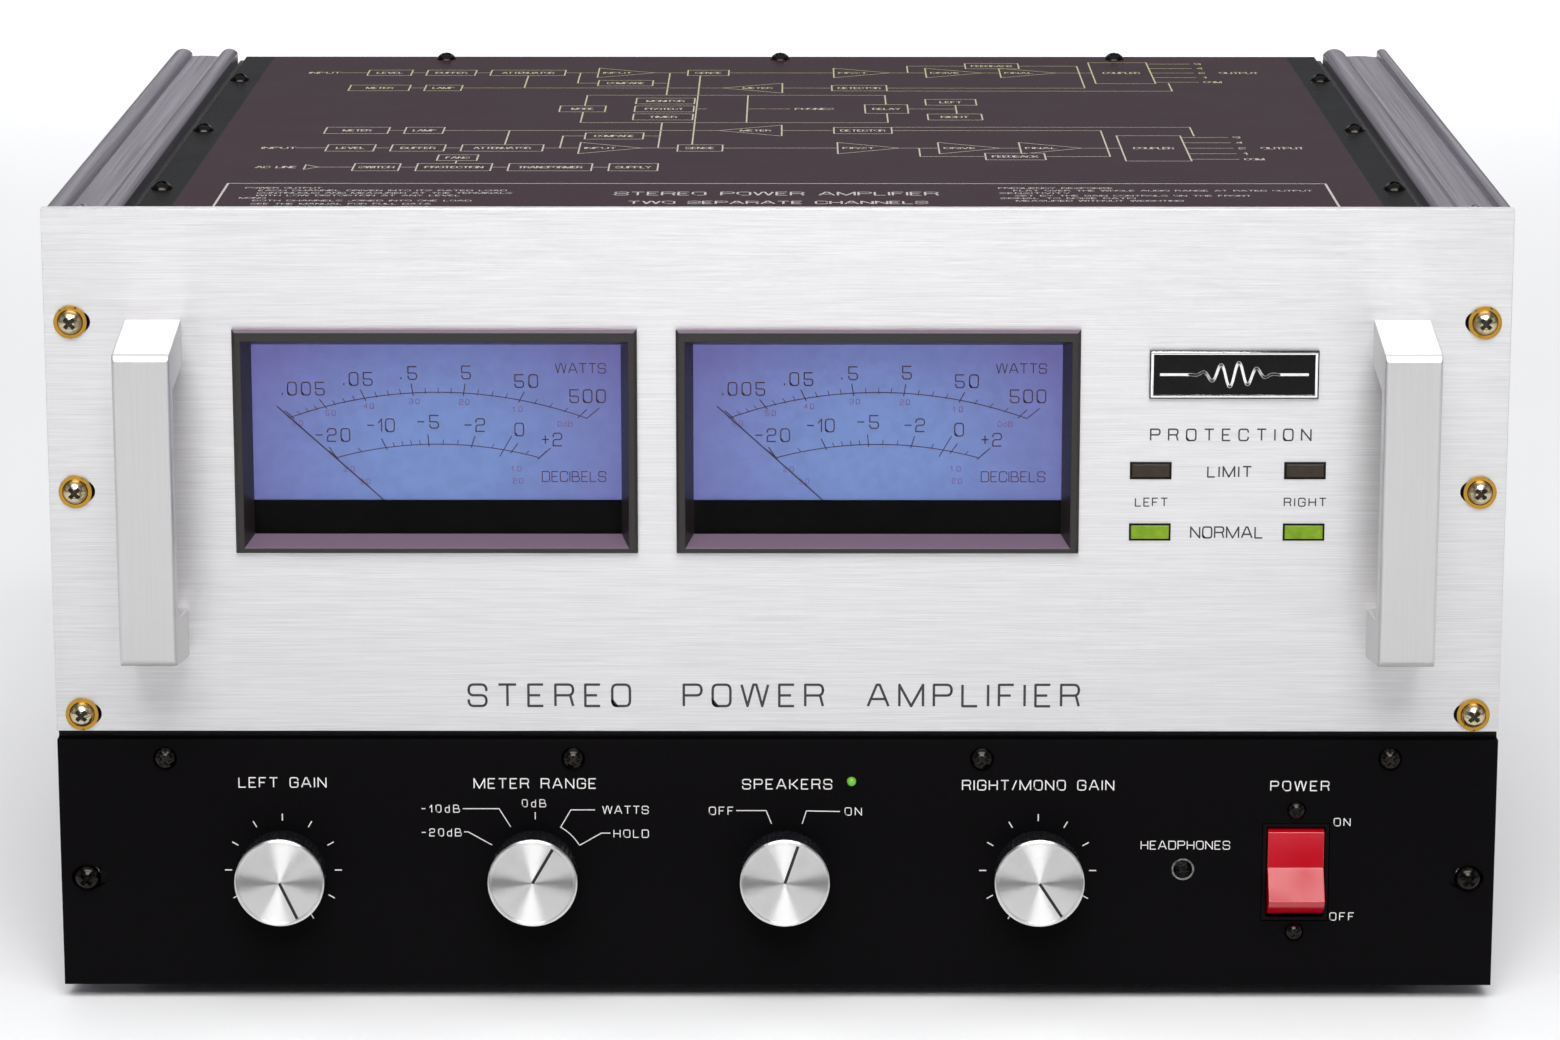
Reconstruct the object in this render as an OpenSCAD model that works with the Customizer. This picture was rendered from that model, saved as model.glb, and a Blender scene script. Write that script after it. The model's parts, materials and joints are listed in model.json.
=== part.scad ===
// Stereo power amplifier for a 19 inch rack, six rack units high.
// A silver faceplate with two meters stands over a black control panel. A black sheet chassis
// hangs behind them, between two extruded side rails. Millimetres throughout.
// X runs right, Y runs back from the front, Z runs up.

/* [Front panels] */
// Width of both front panels, the 19 inch rack standard
panel_w = 482.6; // [480:0.2:485]
// Height of one rack unit
rack_unit = 44.45; // [44:0.05:45]
// Height of the dark joint between the two panels
panel_gap = 3.1; // [1:0.1:4]
// Thickness of both front panels
panel_t = 4.8; // [3:0.1:6]

/* [Chassis] */
// Width of the chassis between the side rails
chassis_w = 431.8; // [420:0.2:436]
// Depth from the panels' front to the back of the rear panel
chassis_d = 391; // [380:1:420]
// Thickness of the chassis sheet
sheet_t = 1.6; // [1:0.1:2]
// Height of the top cover's surface above the panels' bottom edge
cover_z = 261.5; // [258:0.1:264]
// Height of the base plate's underside above the panels' bottom edge
base_z = 3; // [1:0.1:4]
// How far the feet lift the panels' bottom edge
foot_lift = 5; // [3:0.5:10]
// Depth at which the side rails end
rail_end = 382; // [340:1:385]
// How far the cord gland stands behind the rear panel
gland_reach = 14; // [12:0.5:20]

/* [Handles] */
// Distance of each handle's centre from the middle
handle_x = 205.5; // [200:0.1:206]
// Width of a handle
handle_w = 18.6; // [14:0.1:20]
// How far a handle stands out of the faceplate
handle_out = 36.5; // [30:0.5:45]
// Thickness of a handle's bar
handle_bar = 9; // [7:0.5:12]

/* [Meters] */
// Middle of each meter, left then right
meter_xs = [-112.9, 33.2];
// Width of a meter bezel
bezel_w = 133.3; // [130:0.1:136]
// Bottom and top of a meter bezel
bezel_z = [150.5, 226.1];
// How far a bezel stands proud of the faceplate
bezel_out = 3; // [2:0.1:4]
// Height of the needle's pivot
pivot_z = 149.7; // [149:0.1:151]
// Length of the needle from its pivot
needle_len = 72; // [60:0.5:72]
// Needle angle at rest, clockwise from straight up
needle_rest = -47.7; // [-49:0.1:-40]

/* [Controls] */
// Knob axes from left to right
knob_xs = [-166.4, -81.8, 2.5, 87.6];
// Height of the knob axes
knob_z = 40.4; // [38:0.1:43]
// Diameter of a knob
knob_d = 30; // [26:0.1:32]
// How far a knob stands out of the control panel
knob_out = 15.7; // [14:0.1:18]
// Pointer of each knob at rest, clockwise from straight up
knob_turns = [155, 30, 18.7, 147];
// Middle of the power rocker
rocker_x = 174.35; // [172:0.05:176]
// Height of the rocker's pivot
rocker_z = 39.8; // [38:0.1:42]
// Width of the rocker
rocker_w = 18.9; // [17:0.1:19]
// Tilt of the rocker either side of its middle
rocker_tilt = 18; // [10:0.5:18]
// Middle of the headphone socket, across and up
jack_at = [136.5, 40.7];
// Radius of the headphone socket's bore
jack_r = 3.2; // [3.17:0.01:3.3]

/* [Fasteners] */
// Distance of the rack screws from the middle
ear_x = 232.55; // [232:0.05:233]
// Heights of the rack screws, the lowest one on the control panel
ear_zs = [37.7, 94.85, 171.05, 228.2];
// Radius of a rack screw's shank
ear_shank_r = 2.4; // [2.2:0.05:2.6]

/* [Rear] */
// Distance of each fan from the middle
fan_x = 105; // [90:1:115]
// Height of the fans' axes
fan_z = 185; // [170:1:195]
// Side of a square fan frame
fan_side = 92; // [90:0.5:94]

/* [Hidden] */
$fn = 48;

// The frame's origin is under the middle of the whole amplifier, so everything is moved by these
overall_d = handle_out + chassis_d + gland_reach;
face_y = handle_out - overall_d / 2;

// Heights
panel_top = 6 * rack_unit - 0.8;
split_z = 2 * rack_unit;
control_top = split_z - panel_gap;
base_top = base_z + sheet_t;
cover_under = cover_z - sheet_t;
cover_groove = 2.4;

// Depths
sub_y = panel_t + 1.5;
rear_in = chassis_d - sheet_t;
wall_x = chassis_w / 2;
wall_in = wall_x - sheet_t;

// Clearances
bolt_gap = 0.3;
slide_gap = 0.35;
run_gap = 0.05;

// Screws
cover_screw_x = 209.3;
cover_screw_ys = [67, 197, 325];
rear_screw_xs = [-133, 0, 133];
rear_screw_y = 384;
panel_screw_xs = [-205.3, -68.5, 68.5, 205.3];
panel_screw_z = 79.3;
switch_screw_zs = [18.9, 61.5];
ear_shank = 12;
slot_r = 3.6;
slot_reach = 2.3;
slot_shift = 0.6;
small_shank_r = 1.9;
handle_screw_r = 2.9;
handle_screw_zs = [122.9, 221.5];
rail_screw_ys = [60, 200, 340];
rail_screw_zs = [60, 205];
rail_top_screw_y = 12;

// Side rails
rail_top = 6 * rack_unit - 0.8;
rail_web = 3;
rail_x = panel_w / 2;
rail_flange = 2.8;
left_lips = [6.6, 7.3];
right_lips = [9, 4];
lip_roundness = 0.6;
crown_r = 60;
rail_top_screw_x = 229.6;

// Meters
bezel_mid_z = (bezel_z[0] + bezel_z[1]) / 2;
bezel_h = bezel_z[1] - bezel_z[0];
sleeve_w = 130;
sleeve_h = 72.3;
dial_w = 126.4;
dial_z = [143, 222.5];
glass_y = [sub_y, sub_y + 1];
mask_y = [sub_y + 1.2, sub_y + 1.8];
mask_top = 166.5;
needle_y = [sub_y + 2.3, sub_y + 2.7];
dial_y = [sub_y + 3.2, sub_y + 4.4];
case_end = 36;
needle_shaft_r = 0.8;
movement_r = 9.5;

// Lamps and lenses
lens_xs = [123.5, 174.5];
lens_w = 13.3;
lens_h = 5.3;
limit_z = 178.35;
normal_z = 157.5;
led_at = [24.85, 71.4];
badge_x = [122.6, 178.3];
badge_z = [202.9, 218.9];

// Controls
shaft_r = 3;
bushing_r = 4.7;
rocker_y = 5;
rocker_half = 11.7;
rocker_valley = 6;
rocker_r = norm([rocker_valley + rocker_half * tan(rocker_tilt), rocker_half]);
rocker_pin_r = 1.6;
switch_in = rocker_w / 2 + slide_gap;
switch_out = switch_in + 1.4;

// Rear panel
gland_at = [170, 45];
gland_r = 8;
gland_bore_r = 4.2;
terminal_xs = [-105, 105];
terminal_z = 95;
jack_xs = [-12, 12];
jack_z = 100;
phono_r = 4.15;
mode_z = 62;
fan_d = 25.4;
fan_y = rear_in - fan_d;
fan_bore_r = 44;
fan_axle_r = 1.5;

// ---- shared shapes ----

// Puts a piece drawn from the panels' front bottom edge into the amplifier's own frame
module placed() translate([0, face_y, foot_lift]) children();

// A block between two limits on each axis
module block(x, y, z) translate([x[0], y[0], z[0]]) cube([x[1] - x[0], y[1] - y[0], z[1] - z[0]]);

// A rod along Y
module rod_y(r, y) translate([0, y[0], 0]) rotate([-90, 0, 0]) cylinder(r = r, h = y[1] - y[0]);

// A rod along Z
module rod_z(r, z) translate([0, 0, z[0]]) cylinder(r = r, h = z[1] - z[0]);

// An outline drawn in Y and Z, given a width along X
module across(w) translate([-w / 2, 0, 0]) rotate([90, 0, 90]) linear_extrude(w) children();

// An outline drawn in X and Z, run back from one depth to another
module run_back(y) translate([0, y[1], 0]) rotate([90, 0, 0]) linear_extrude(y[1] - y[0]) children();

// A screw through a sheet from the front: head at y = 0, with a cross recess
module front_screw(shank_r, shank, head_r, head_h, washer_r = 0, washer_h = 0) {
    difference() {
        union() {
            rod_y(shank_r, [-0.5, shank]);
            if (washer_r > 0) rod_y(washer_r, [-washer_h, 0]);
            dome(head_r, head_h, washer_h);
        }
        for (a = [45, -45])
            rotate([0, a, 0]) block([-head_r * 0.52, head_r * 0.52], [-head_h - 1, -head_h * 0.55],
                                    [-head_r * 0.16, head_r * 0.16]);
    }
}

// The round head of a pan screw, a slice of a ball
module dome(r, h, start) {
    rise = h - start;
    ball = (r * r + rise * rise) / (2 * rise);
    intersection() {
        translate([0, ball - h, 0]) sphere(r = ball);
        rod_y(r, [-h - 1, -start / 2]);
    }
}

// The front screw turned to stand on a top surface
module top_screw(shank_r, shank, head_r, head_h) rotate([-90, 0, 0])
    front_screw(shank_r, shank, head_r, head_h);

// The slots for rack screws on one panel, which reach further inward than outward
module ear_slots(zs) for (side = [-1, 1], z = zs)
    translate([side * (ear_x - slot_shift), -1, z]) {
        for (dx = [-slot_reach, slot_reach]) translate([dx, 0, 0]) rod_y(slot_r, [0, panel_t + 2]);
        block([-slot_reach, slot_reach], [0, panel_t + 2], [-slot_r, slot_r]);
    }

// Mirrors a right-hand piece to the left where side is -1
module sided(side) mirror([side < 0 ? 1 : 0, 0, 0]) children();

// Holes for the handle bolts through the faceplate and the sub-panel
module handle_holes(r, y) for (side = [-1, 1], z = handle_screw_zs)
    translate([side * handle_x, 0, z]) rod_y(r, y);

// ---- front panels ----

module faceplate() color([0.82, 0.82, 0.83]) placed() difference() {
    block([-panel_w / 2, panel_w / 2], [0, panel_t], [split_z, panel_top]);
    ear_slots([ear_zs[1], ear_zs[2], ear_zs[3]]);
    for (x = meter_xs) translate([x, 0, bezel_mid_z])
        block([-sleeve_w / 2 - bolt_gap, sleeve_w / 2 + bolt_gap], [-1, panel_t + 1],
              [-sleeve_h / 2 - bolt_gap, sleeve_h / 2 + bolt_gap]);
    for (x = lens_xs, z = [limit_z, normal_z])
        block([x - lens_w / 2 - 0.1, x + lens_w / 2 + 0.1], [-1, panel_t + 1],
              [z - lens_h / 2 - 0.1, z + lens_h / 2 + 0.1]);
    handle_holes(handle_screw_r + bolt_gap, [-1, panel_t + 1]);
}

module control_panel() color([0.06, 0.06, 0.06]) placed() difference() {
    block([-panel_w / 2, panel_w / 2], [0, panel_t], [0, control_top]);
    ear_slots([ear_zs[0]]);
    control_holes([-1, panel_t + 1]);
}

// What both the control panel and the sub-panel are pierced with
module control_holes(y) {
    for (x = knob_xs) translate([x, 0, knob_z]) rod_y(bushing_r + 0.2, y);
    translate([jack_at[0], 0, jack_at[1]]) rod_y(jack_r + 0.8, y);
    translate([led_at[0], 0, led_at[1]]) rod_y(1.7, y);
    translate([rocker_x, 0, rocker_z]) block([-switch_out - 0.2, switch_out + 0.2], y, [-17.2, 17.2]);
    for (x = panel_screw_xs) translate([x, 0, panel_screw_z]) rod_y(small_shank_r + bolt_gap, y);
    for (z = switch_screw_zs) translate([rocker_x, 0, z]) rod_y(1.5 + bolt_gap, y);
}

module handle(side) color([0.85, 0.85, 0.86]) placed() translate([side * handle_x, 0, 0]) {
    bar_back = handle_bar - handle_out;
    difference() {
        intersection() {
            across(handle_w) polygon([
                [0, 114.8], [-handle_out + 2, 120.3], [-handle_out, 122.2],
                [-handle_out, 222.2], [-handle_out + 2, 224.1], [0, 229]
            ]);
            handle_plan();
        }
        across(handle_w + 2) polygon([[1, 131], [bar_back, 134.3], [bar_back, 210.5], [1, 214]]);
        for (z = handle_screw_zs) translate([0, 0, z]) rod_y(handle_screw_r + 0.1, [-16, 1]);
    }
}

// The handle seen from above: its two front edges are rounded
module handle_plan() {
    edge_r = 1.2;
    half = handle_w / 2;
    block([-half, half], [-handle_out + edge_r, 1], [100, 240]);
    block([-half + edge_r, half - edge_r], [-handle_out, 0], [100, 240]);
    for (s = [-1, 1])
        translate([s * (half - edge_r), -handle_out + edge_r, 0]) rod_z(edge_r, [100, 240]);
}

module handle_left() handle(-1);
module handle_right() handle(1);

module handle_screws() color("silver") placed() for (side = [-1, 1], z = handle_screw_zs)
    translate([side * handle_x, 0, z]) {
        rod_y(handle_screw_r, [-14, sub_y + 4]);
        rod_y(5, [sub_y, sub_y + 4]);
    }

module name_badge() color("black") placed() difference() {
    block(badge_x, [-1.6, 0], badge_z);
    block([badge_x[0] + 1, badge_x[1] - 1], [-2, -1.1], [badge_z[0] + 1, badge_z[1] - 1]);
}

// Lamp lenses, pushed into their slots from the front
module lens_pair(z) for (x = lens_xs) {
    step = 0.5;
    block([x - lens_w / 2, x + lens_w / 2], [-0.4, panel_t - 0.2], [z - lens_h / 2, z + lens_h / 2]);
    block([x - lens_w / 2 + step, x + lens_w / 2 - step], [-0.9, 0],
          [z - lens_h / 2 + step, z + lens_h / 2 - step]);
}

module limit_lenses() color([0.18, 0.09, 0.05]) placed() lens_pair(limit_z);
module normal_lenses() color([0.35, 0.6, 0.12]) placed() lens_pair(normal_z);

// ---- meters ----

module meter_bezel(x) color([0.18, 0.15, 0.16]) placed() translate([x, 0, bezel_mid_z]) difference() {
    union() {
        hull() {
            window([-bezel_out, -1], bezel_w - 2, bezel_h - 2);
            window([-bezel_out + 1, 0], bezel_w, bezel_h);
        }
        window([-1, sub_y], sleeve_w, sleeve_h);
    }
    hull() {
        translate([0, 0, -1]) window([-bezel_out - 0.02, -bezel_out - 0.01], 127.4, 69.6);
        translate([0, 0, -0.9]) window([sub_y + 0.01, sub_y + 0.02], 122, 64);
    }
}

// A flat rectangular slab about the meter's middle
module window(y, w, h) block([-w / 2, w / 2], y, [-h / 2, h / 2]);

module meter_bezel_left() meter_bezel(meter_xs[0]);
module meter_bezel_right() meter_bezel(meter_xs[1]);

module meter_glass(x) color([0.8, 0.9, 1, 0.3]) placed() translate([x, 0, 0])
    block([-63.2, 63.2], glass_y, [152.5, 223]);

module meter_glass_left() meter_glass(meter_xs[0]);
module meter_glass_right() meter_glass(meter_xs[1]);

module meter_dial(x) color([0.4, 0.5, 0.85]) placed() translate([x, 0, 0]) difference() {
    block([-dial_w / 2, dial_w / 2], dial_y, dial_z);
    translate([0, 0, pivot_z]) rod_y(3, [0, case_end]);
}

module meter_dial_left() meter_dial(meter_xs[0]);
module meter_dial_right() meter_dial(meter_xs[1]);

// A case holds the dial and the movement, and its front shroud hides the needle's pivot
module meter_cases() color([0.05, 0.05, 0.05]) placed() for (x = meter_xs) translate([x, 0, 0]) {
    difference() {
        union() {
            block([-65, 65], [sub_y, case_end], [138, 225]);
            block([-70, 70], [sub_y, sub_y + 1.5], [133, 230]);
        }
        block([-63.5, 63.5], [sub_y - 1, case_end - 1.5], [139.5, 223.5]);
    }
    block([-63.6, 63.6], mask_y, [139.4, mask_top]);
}

module meter_movements() color([0.55, 0.56, 0.58]) placed() for (x = meter_xs)
    translate([x, 0, pivot_z]) difference() {
        union() {
            rod_y(movement_r, [dial_y[1] + 0.4, 28]);
            block([-16, 16], [16, 26], [-4, 4]);
        }
        rod_y(needle_shaft_r + run_gap, [0, 24]);
    }

module needle(x) color([0.15, 0.1, 0.12]) placed() translate([x, 0, pivot_z]) {
    blade_y = [needle_y[0] + 0.1, needle_y[1] - 0.1];
    rod_y(needle_shaft_r, [needle_y[1] - 0.1, 22]);
    rod_y(2.6, needle_y);
    rotate([0, needle_rest, 0]) {
        block([-0.2, 0.2], blade_y, [1.5, needle_len]);
        block([-0.8, 0.8], blade_y, [-7, -1.5]);
    }
}

module needle_left() needle(meter_xs[0]);
module needle_right() needle(meter_xs[1]);

// ---- knobs and what they turn ----

// The outline of a fluted knob, one tooth for every flute
function flutes(count, outer, inner) = [
    for (i = [0 : 2 * count - 1])
        let (r = i % 2 == 0 ? outer : inner, a = i * 180 / count) [r * cos(a), r * sin(a)]
];

module knob(i) color([0.05, 0.05, 0.05]) placed() translate([knob_xs[i], 0, knob_z]) {
    difference() {
        union() {
            run_back([-knob_out + 1.2, -3]) polygon(flutes(48, knob_d / 2 - 0.15, knob_d / 2 - 0.8));
            rod_y(knob_d / 2 - 0.9, [-3.2, -0.8]);
        }
        rod_y(10, [-4.5, 0]);
        rod_y(shaft_r + 0.02, [-12, 0]);
    }
    rod_y(shaft_r, [-11.8, 18]);
}

module knob_left_gain() knob(0);
module knob_meter_range() knob(1);
module knob_speakers() knob(2);
module knob_right_gain() knob(3);

// The spun cap on a knob's face, with the pointer cut into it
module cap(i) color([0.8, 0.8, 0.82]) placed() translate([knob_xs[i], 0, knob_z]) difference() {
    union() {
        rod_y(knob_d / 2, [-knob_out + 0.4, -knob_out + 1.2]);
        translate([0, -knob_out + 0.4, 0]) rotate([90, 0, 0])
            cylinder(r1 = knob_d / 2, r2 = knob_d / 2 - 0.4, h = 0.4);
    }
    translate([0, -knob_out, 0]) rotate([-90, 0, 0]) cylinder(r = knob_d / 2 - 1.2, h = 0.2);
    rotate([0, knob_turns[i], 0]) block([-0.5, 0.5], [-knob_out - 1, -knob_out + 0.5], [0, knob_d / 2 - 1.3]);
}

module cap_left_gain() cap(0);
module cap_meter_range() cap(1);
module cap_speakers() cap(2);
module cap_right_gain() cap(3);

// A control behind the panel: can, threaded bushing and nut, bored for its shaft
module control_can(x, can_r, can_d) translate([x, 0, knob_z]) difference() {
    union() {
        rod_y(can_r, [sub_y, sub_y + can_d]);
        rod_y(bushing_r, [-2.6, sub_y + 1]);
        rotate([90, 0, 0]) cylinder(r = 7.5, h = 2.2, $fn = 6);
    }
    rod_y(shaft_r + run_gap, [-4, 19]);
}

module gain_pots() color([0.55, 0.56, 0.58]) placed() for (i = [0, 3]) control_can(knob_xs[i], 12, 16);

module rotary_switches() color([0.45, 0.35, 0.2]) placed()
    for (i = [1, 2]) control_can(knob_xs[i], 16, 22);

// ---- power switch ----

module power_switch_body() color([0.08, 0.08, 0.08]) placed() translate([rocker_x, 0, rocker_z]) {
    difference() {
        union() {
            block([-switch_out, switch_out], [0.4, sub_y + 1], [-17, 17]);
            block([-switch_out, switch_out], [sub_y, 32], [-18.5, 18.5]);
        }
        block([-switch_in, switch_in], [-1, 16], [-15.7, 15.7]);
        translate([-20, rocker_y, 0]) rotate([0, 90, 0]) cylinder(r = rocker_pin_r + run_gap, h = 40);
    }
    for (z = [-10, 0, 10]) block([-3, 3], [31, 42], [z - 0.4, z + 0.4]);
}

// Two flats meet in a valley, and the ends are round about the pivot
module power_rocker() color([0.8, 0, 0.1]) placed()
    translate([rocker_x, rocker_y, rocker_z]) rotate([-rocker_tilt, 0, 0]) {
        flank = -rocker_valley - 2 * rocker_half * tan(rocker_tilt);
        across(rocker_w) intersection() {
            polygon([
                [-rocker_valley, 0], [flank, 2 * rocker_half], [3, 2 * rocker_half], [4, 7],
                [4, -7], [3, -2 * rocker_half], [flank, -2 * rocker_half]
            ]);
            circle(r = rocker_r);
        }
        translate([-switch_out + 0.2, 0, 0]) rotate([0, 90, 0])
            cylinder(r = rocker_pin_r, h = 2 * switch_out - 0.4);
    }

module headphone_jack() color("silver") placed() translate([jack_at[0], 0, jack_at[1]]) difference() {
    union() {
        rod_y(jack_r + 0.6, [0.5, sub_y + 1]);
        block([-8, 8], [sub_y, 36], [-7, 7]);
    }
    rod_y(jack_r, [0, 33]);
}

module speaker_led() color([0.4, 0.8, 0.15]) placed() translate([led_at[0], 0, led_at[1]]) {
    rod_y(1.5, [0, sub_y + 4]);
    sphere(r = 1.5);
}

// ---- fasteners ----

module rack_screws() color([0.85, 0.65, 0.3]) placed()
    for (side = [-1, 1], i = [1, 2, 3]) translate([side * ear_x, 0, ear_zs[i]])
        front_screw(ear_shank_r, panel_t + ear_shank, 4.3, 4, 5.5, 1);

module control_panel_screws() color([0.08, 0.08, 0.08]) placed() {
    for (side = [-1, 1]) translate([side * ear_x, 0, ear_zs[0]])
        front_screw(ear_shank_r, panel_t + ear_shank, 4.6, 3.2);
    for (x = panel_screw_xs) translate([x, 0, panel_screw_z])
        front_screw(small_shank_r, sub_y + 2, 4, 2.6);
    for (z = switch_screw_zs) translate([rocker_x, 0, z]) front_screw(1.5, sub_y + 2, 3.2, 2);
}

module top_cover_screws() color([0.08, 0.08, 0.08]) placed() {
    for (side = [-1, 1], y = cover_screw_ys)
        translate([side * cover_screw_x, y, cover_z]) top_screw(small_shank_r, 6, 4, 2.6);
    for (x = rear_screw_xs) translate([x, rear_screw_y, cover_z]) top_screw(small_shank_r, 6, 4, 2.6);
}

module rail_screws() color("silver") placed() for (side = [-1, 1]) {
    translate([side * rail_top_screw_x, rail_top_screw_y, rail_top - rail_flange])
        top_screw(2, 8, 3.8, 2.2);
    for (y = rail_screw_ys, z = rail_screw_zs)
        translate([side * (wall_x + rail_web), y, z]) rotate([0, 0, side * 90])
            front_screw(2, rail_web + 5, 4, 2.4);
}

module rubber_feet() color([0.1, 0.1, 0.1]) placed() for (x = [-180, 180], y = [45, 350])
    translate([x, y, 0]) rod_z(10, [-foot_lift, base_z]);

// ---- chassis ----

// The sub-panel carries both front panels. It reaches out over the rails' ends, where it backs the
// slots in the panels and closes the joint between them.
module front_subpanel() color([0.1, 0.1, 0.1]) placed() difference() {
    block([-rail_x, rail_x], [panel_t, sub_y], [base_top, cover_under]);
    for (side = [-1, 1], z = ear_zs) translate([side * ear_x, 0, z]) rod_y(slot_r, [0, sub_y + 1]);
    control_holes([0, sub_y + 1]);
    for (x = meter_xs) translate([x, 0, bezel_mid_z])
        block([-sleeve_w / 2 - bolt_gap, sleeve_w / 2 + bolt_gap], [0, sub_y + 1],
              [-sleeve_h / 2 - bolt_gap, sleeve_h / 2 + bolt_gap]);
    handle_holes(handle_screw_r + bolt_gap, [0, sub_y + 1]);
}

module base_plate() color([0.12, 0.12, 0.12]) placed() difference() {
    block([-wall_x, wall_x], [panel_t, chassis_d], [base_z, base_top]);
    for (side = [-1, 1], i = [0 : 9])
        translate([side * 172, 120 + i * 20, 0]) block([-24, 24], [0, 4], [base_z - 1, base_top + 1]);
}

// A side wall is folded inward at the top and the bottom
module side_wall(side) color([0.12, 0.12, 0.12]) placed() sided(side) difference() {
    run_back([sub_y, rear_in]) polygon([
        [wall_x, base_top], [wall_x, cover_under], [201.9, cover_under], [201.9, cover_under - sheet_t],
        [wall_in, cover_under - sheet_t], [wall_in, base_top + sheet_t], [201.9, base_top + sheet_t],
        [201.9, base_top]
    ]);
    for (y = cover_screw_ys) translate([cover_screw_x, y, 0])
        rod_z(small_shank_r + bolt_gap, [cover_under - 4, cover_z]);
    for (y = rail_screw_ys, z = rail_screw_zs) translate([wall_in - 1, y, z]) rotate([0, 90, 0])
        cylinder(r = 2 + bolt_gap, h = 4);
}

module side_wall_left() side_wall(-1);
module side_wall_right() side_wall(1);

// The cover stops short of the rails, which leaves a dark groove along each side
module top_cover() color([0.2, 0.14, 0.18]) placed() difference() {
    block([-wall_x + cover_groove, wall_x - cover_groove], [panel_t, chassis_d], [cover_under, cover_z]);
    for (side = [-1, 1], y = cover_screw_ys) translate([side * cover_screw_x, y, 0])
        rod_z(small_shank_r + bolt_gap, [cover_under - 1, cover_z + 1]);
    for (x = rear_screw_xs) translate([x, rear_screw_y, 0])
        rod_z(small_shank_r + bolt_gap, [cover_under - 1, cover_z + 1]);
}

// The rear panel has a flange at the top for the cover's rear screws
module rear_panel() color([0.12, 0.12, 0.12]) placed() difference() {
    union() {
        block([-wall_x, wall_x], [rear_in, chassis_d], [base_top, cover_under]);
        block([-200, 200], [rear_in - 12, rear_in + 0.1], [cover_under - sheet_t, cover_under]);
    }
    for (x = rear_screw_xs) translate([x, rear_screw_y, 0])
        rod_z(small_shank_r + bolt_gap, [cover_under - 4, cover_z]);
    for (side = [-1, 1]) translate([side * fan_x, 0, fan_z]) rod_y(fan_bore_r, [rear_in - 1, chassis_d + 1]);
    for (x = terminal_xs)
        block([x - 52, x + 52], [rear_in - 1, chassis_d + 1], [terminal_z - 4.2, terminal_z + 4.2]);
    for (x = jack_xs) translate([x, 0, jack_z]) rod_y(3.3, [rear_in - 1, chassis_d + 1]);
    block([-8.2, 8.2], [rear_in - 1, chassis_d + 1], [mode_z - 5.2, mode_z + 5.2]);
    translate([gland_at[0], 0, gland_at[1]]) rod_y(gland_r + 0.2, [rear_in - 1, chassis_d + 1]);
}

// ---- side rails ----

// One half of a rail's outline, from its middle height up: web, crowned flange between two round
// lips, and the flange's outer edge turned down. lips holds the inner and the outer lip's width.
module rail_half(lips) {
    top = rail_top / 2;
    square_between([wall_x, wall_x + rail_web], [-1, top - 4]);
    square_between([wall_x, rail_x], [top - 6, top - 3.2]);
    rail_lip([wall_x, wall_x + lips[0]], top);
    rail_lip([rail_x - lips[1], rail_x], top);
    intersection() {
        translate([rail_top_screw_x, top - rail_flange - crown_r]) circle(r = crown_r);
        square_between([wall_x + 5, rail_x - 1], [top - 5, top]);
    }
    square_between([rail_x - 4, rail_x], [top - 16, top - 4]);
}

// A lip along one edge of the flange, round on top
module rail_lip(x, top) intersection() {
    r = lip_roundness * (x[1] - x[0]);
    translate([(x[0] + x[1]) / 2, top - r]) circle(r = r);
    square_between(x, [top - 5, top]);
}

module square_between(x, z) translate([x[0], z[0]]) square([x[1] - x[0], z[1] - z[0]]);

// The two rails are cut from extrusions with different lips
module side_rail(side, lips) color([0.55, 0.53, 0.56]) placed() sided(side) difference() {
    run_back([panel_t, rail_end]) translate([0, rail_top / 2]) {
        rail_half(lips);
        mirror([0, 1]) rail_half(lips);
    }
    for (y = rail_screw_ys, z = rail_screw_zs) translate([wall_x - 1, y, z]) rotate([0, 90, 0])
        cylinder(r = 2 + bolt_gap, h = 6);
    translate([rail_top_screw_x, rail_top_screw_y, 0]) rod_z(2 + bolt_gap, [rail_top - 12, rail_top + 1]);
    block([wall_x - 1, rail_x + 1], [0, sub_y], [base_top - bolt_gap, cover_under + bolt_gap]);
}

module side_rail_left() side_rail(-1, left_lips);
module side_rail_right() side_rail(1, right_lips);

// ---- rear fittings ----

module fan_frames() color([0.08, 0.08, 0.08]) placed() for (side = [-1, 1])
    translate([side * fan_x, 0, fan_z]) difference() {
        union() {
            difference() {
                block([-fan_side / 2, fan_side / 2], [fan_y, rear_in], [-fan_side / 2, fan_side / 2]);
                rod_y(fan_bore_r, [fan_y - 1, rear_in + 1]);
            }
            rod_y(15, [fan_y, fan_y + 4]);
            for (a = [45, 135]) rotate([0, a, 0]) block([-45, 45], [fan_y, fan_y + 3], [-2.5, 2.5]);
        }
        rod_y(fan_axle_r + run_gap, [fan_y - 1, fan_y + 5]);
    }

module fan_rotor(side) color([0.12, 0.12, 0.12]) placed() translate([side * fan_x, 0, fan_z]) {
    rod_y(fan_axle_r, [fan_y + 0.5, fan_y + 6]);
    rod_y(16.5, [fan_y + 5, rear_in - 2]);
    for (i = [0 : 6]) rotate([0, i * 360 / 7, 0]) translate([0, (fan_y + rear_in) / 2 + 1.5, 28.5])
        rotate([0, 0, 55]) cube([20, 1.8, 26], center = true);
}

module fan_rotor_left() fan_rotor(-1);
module fan_rotor_right() fan_rotor(1);

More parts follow.
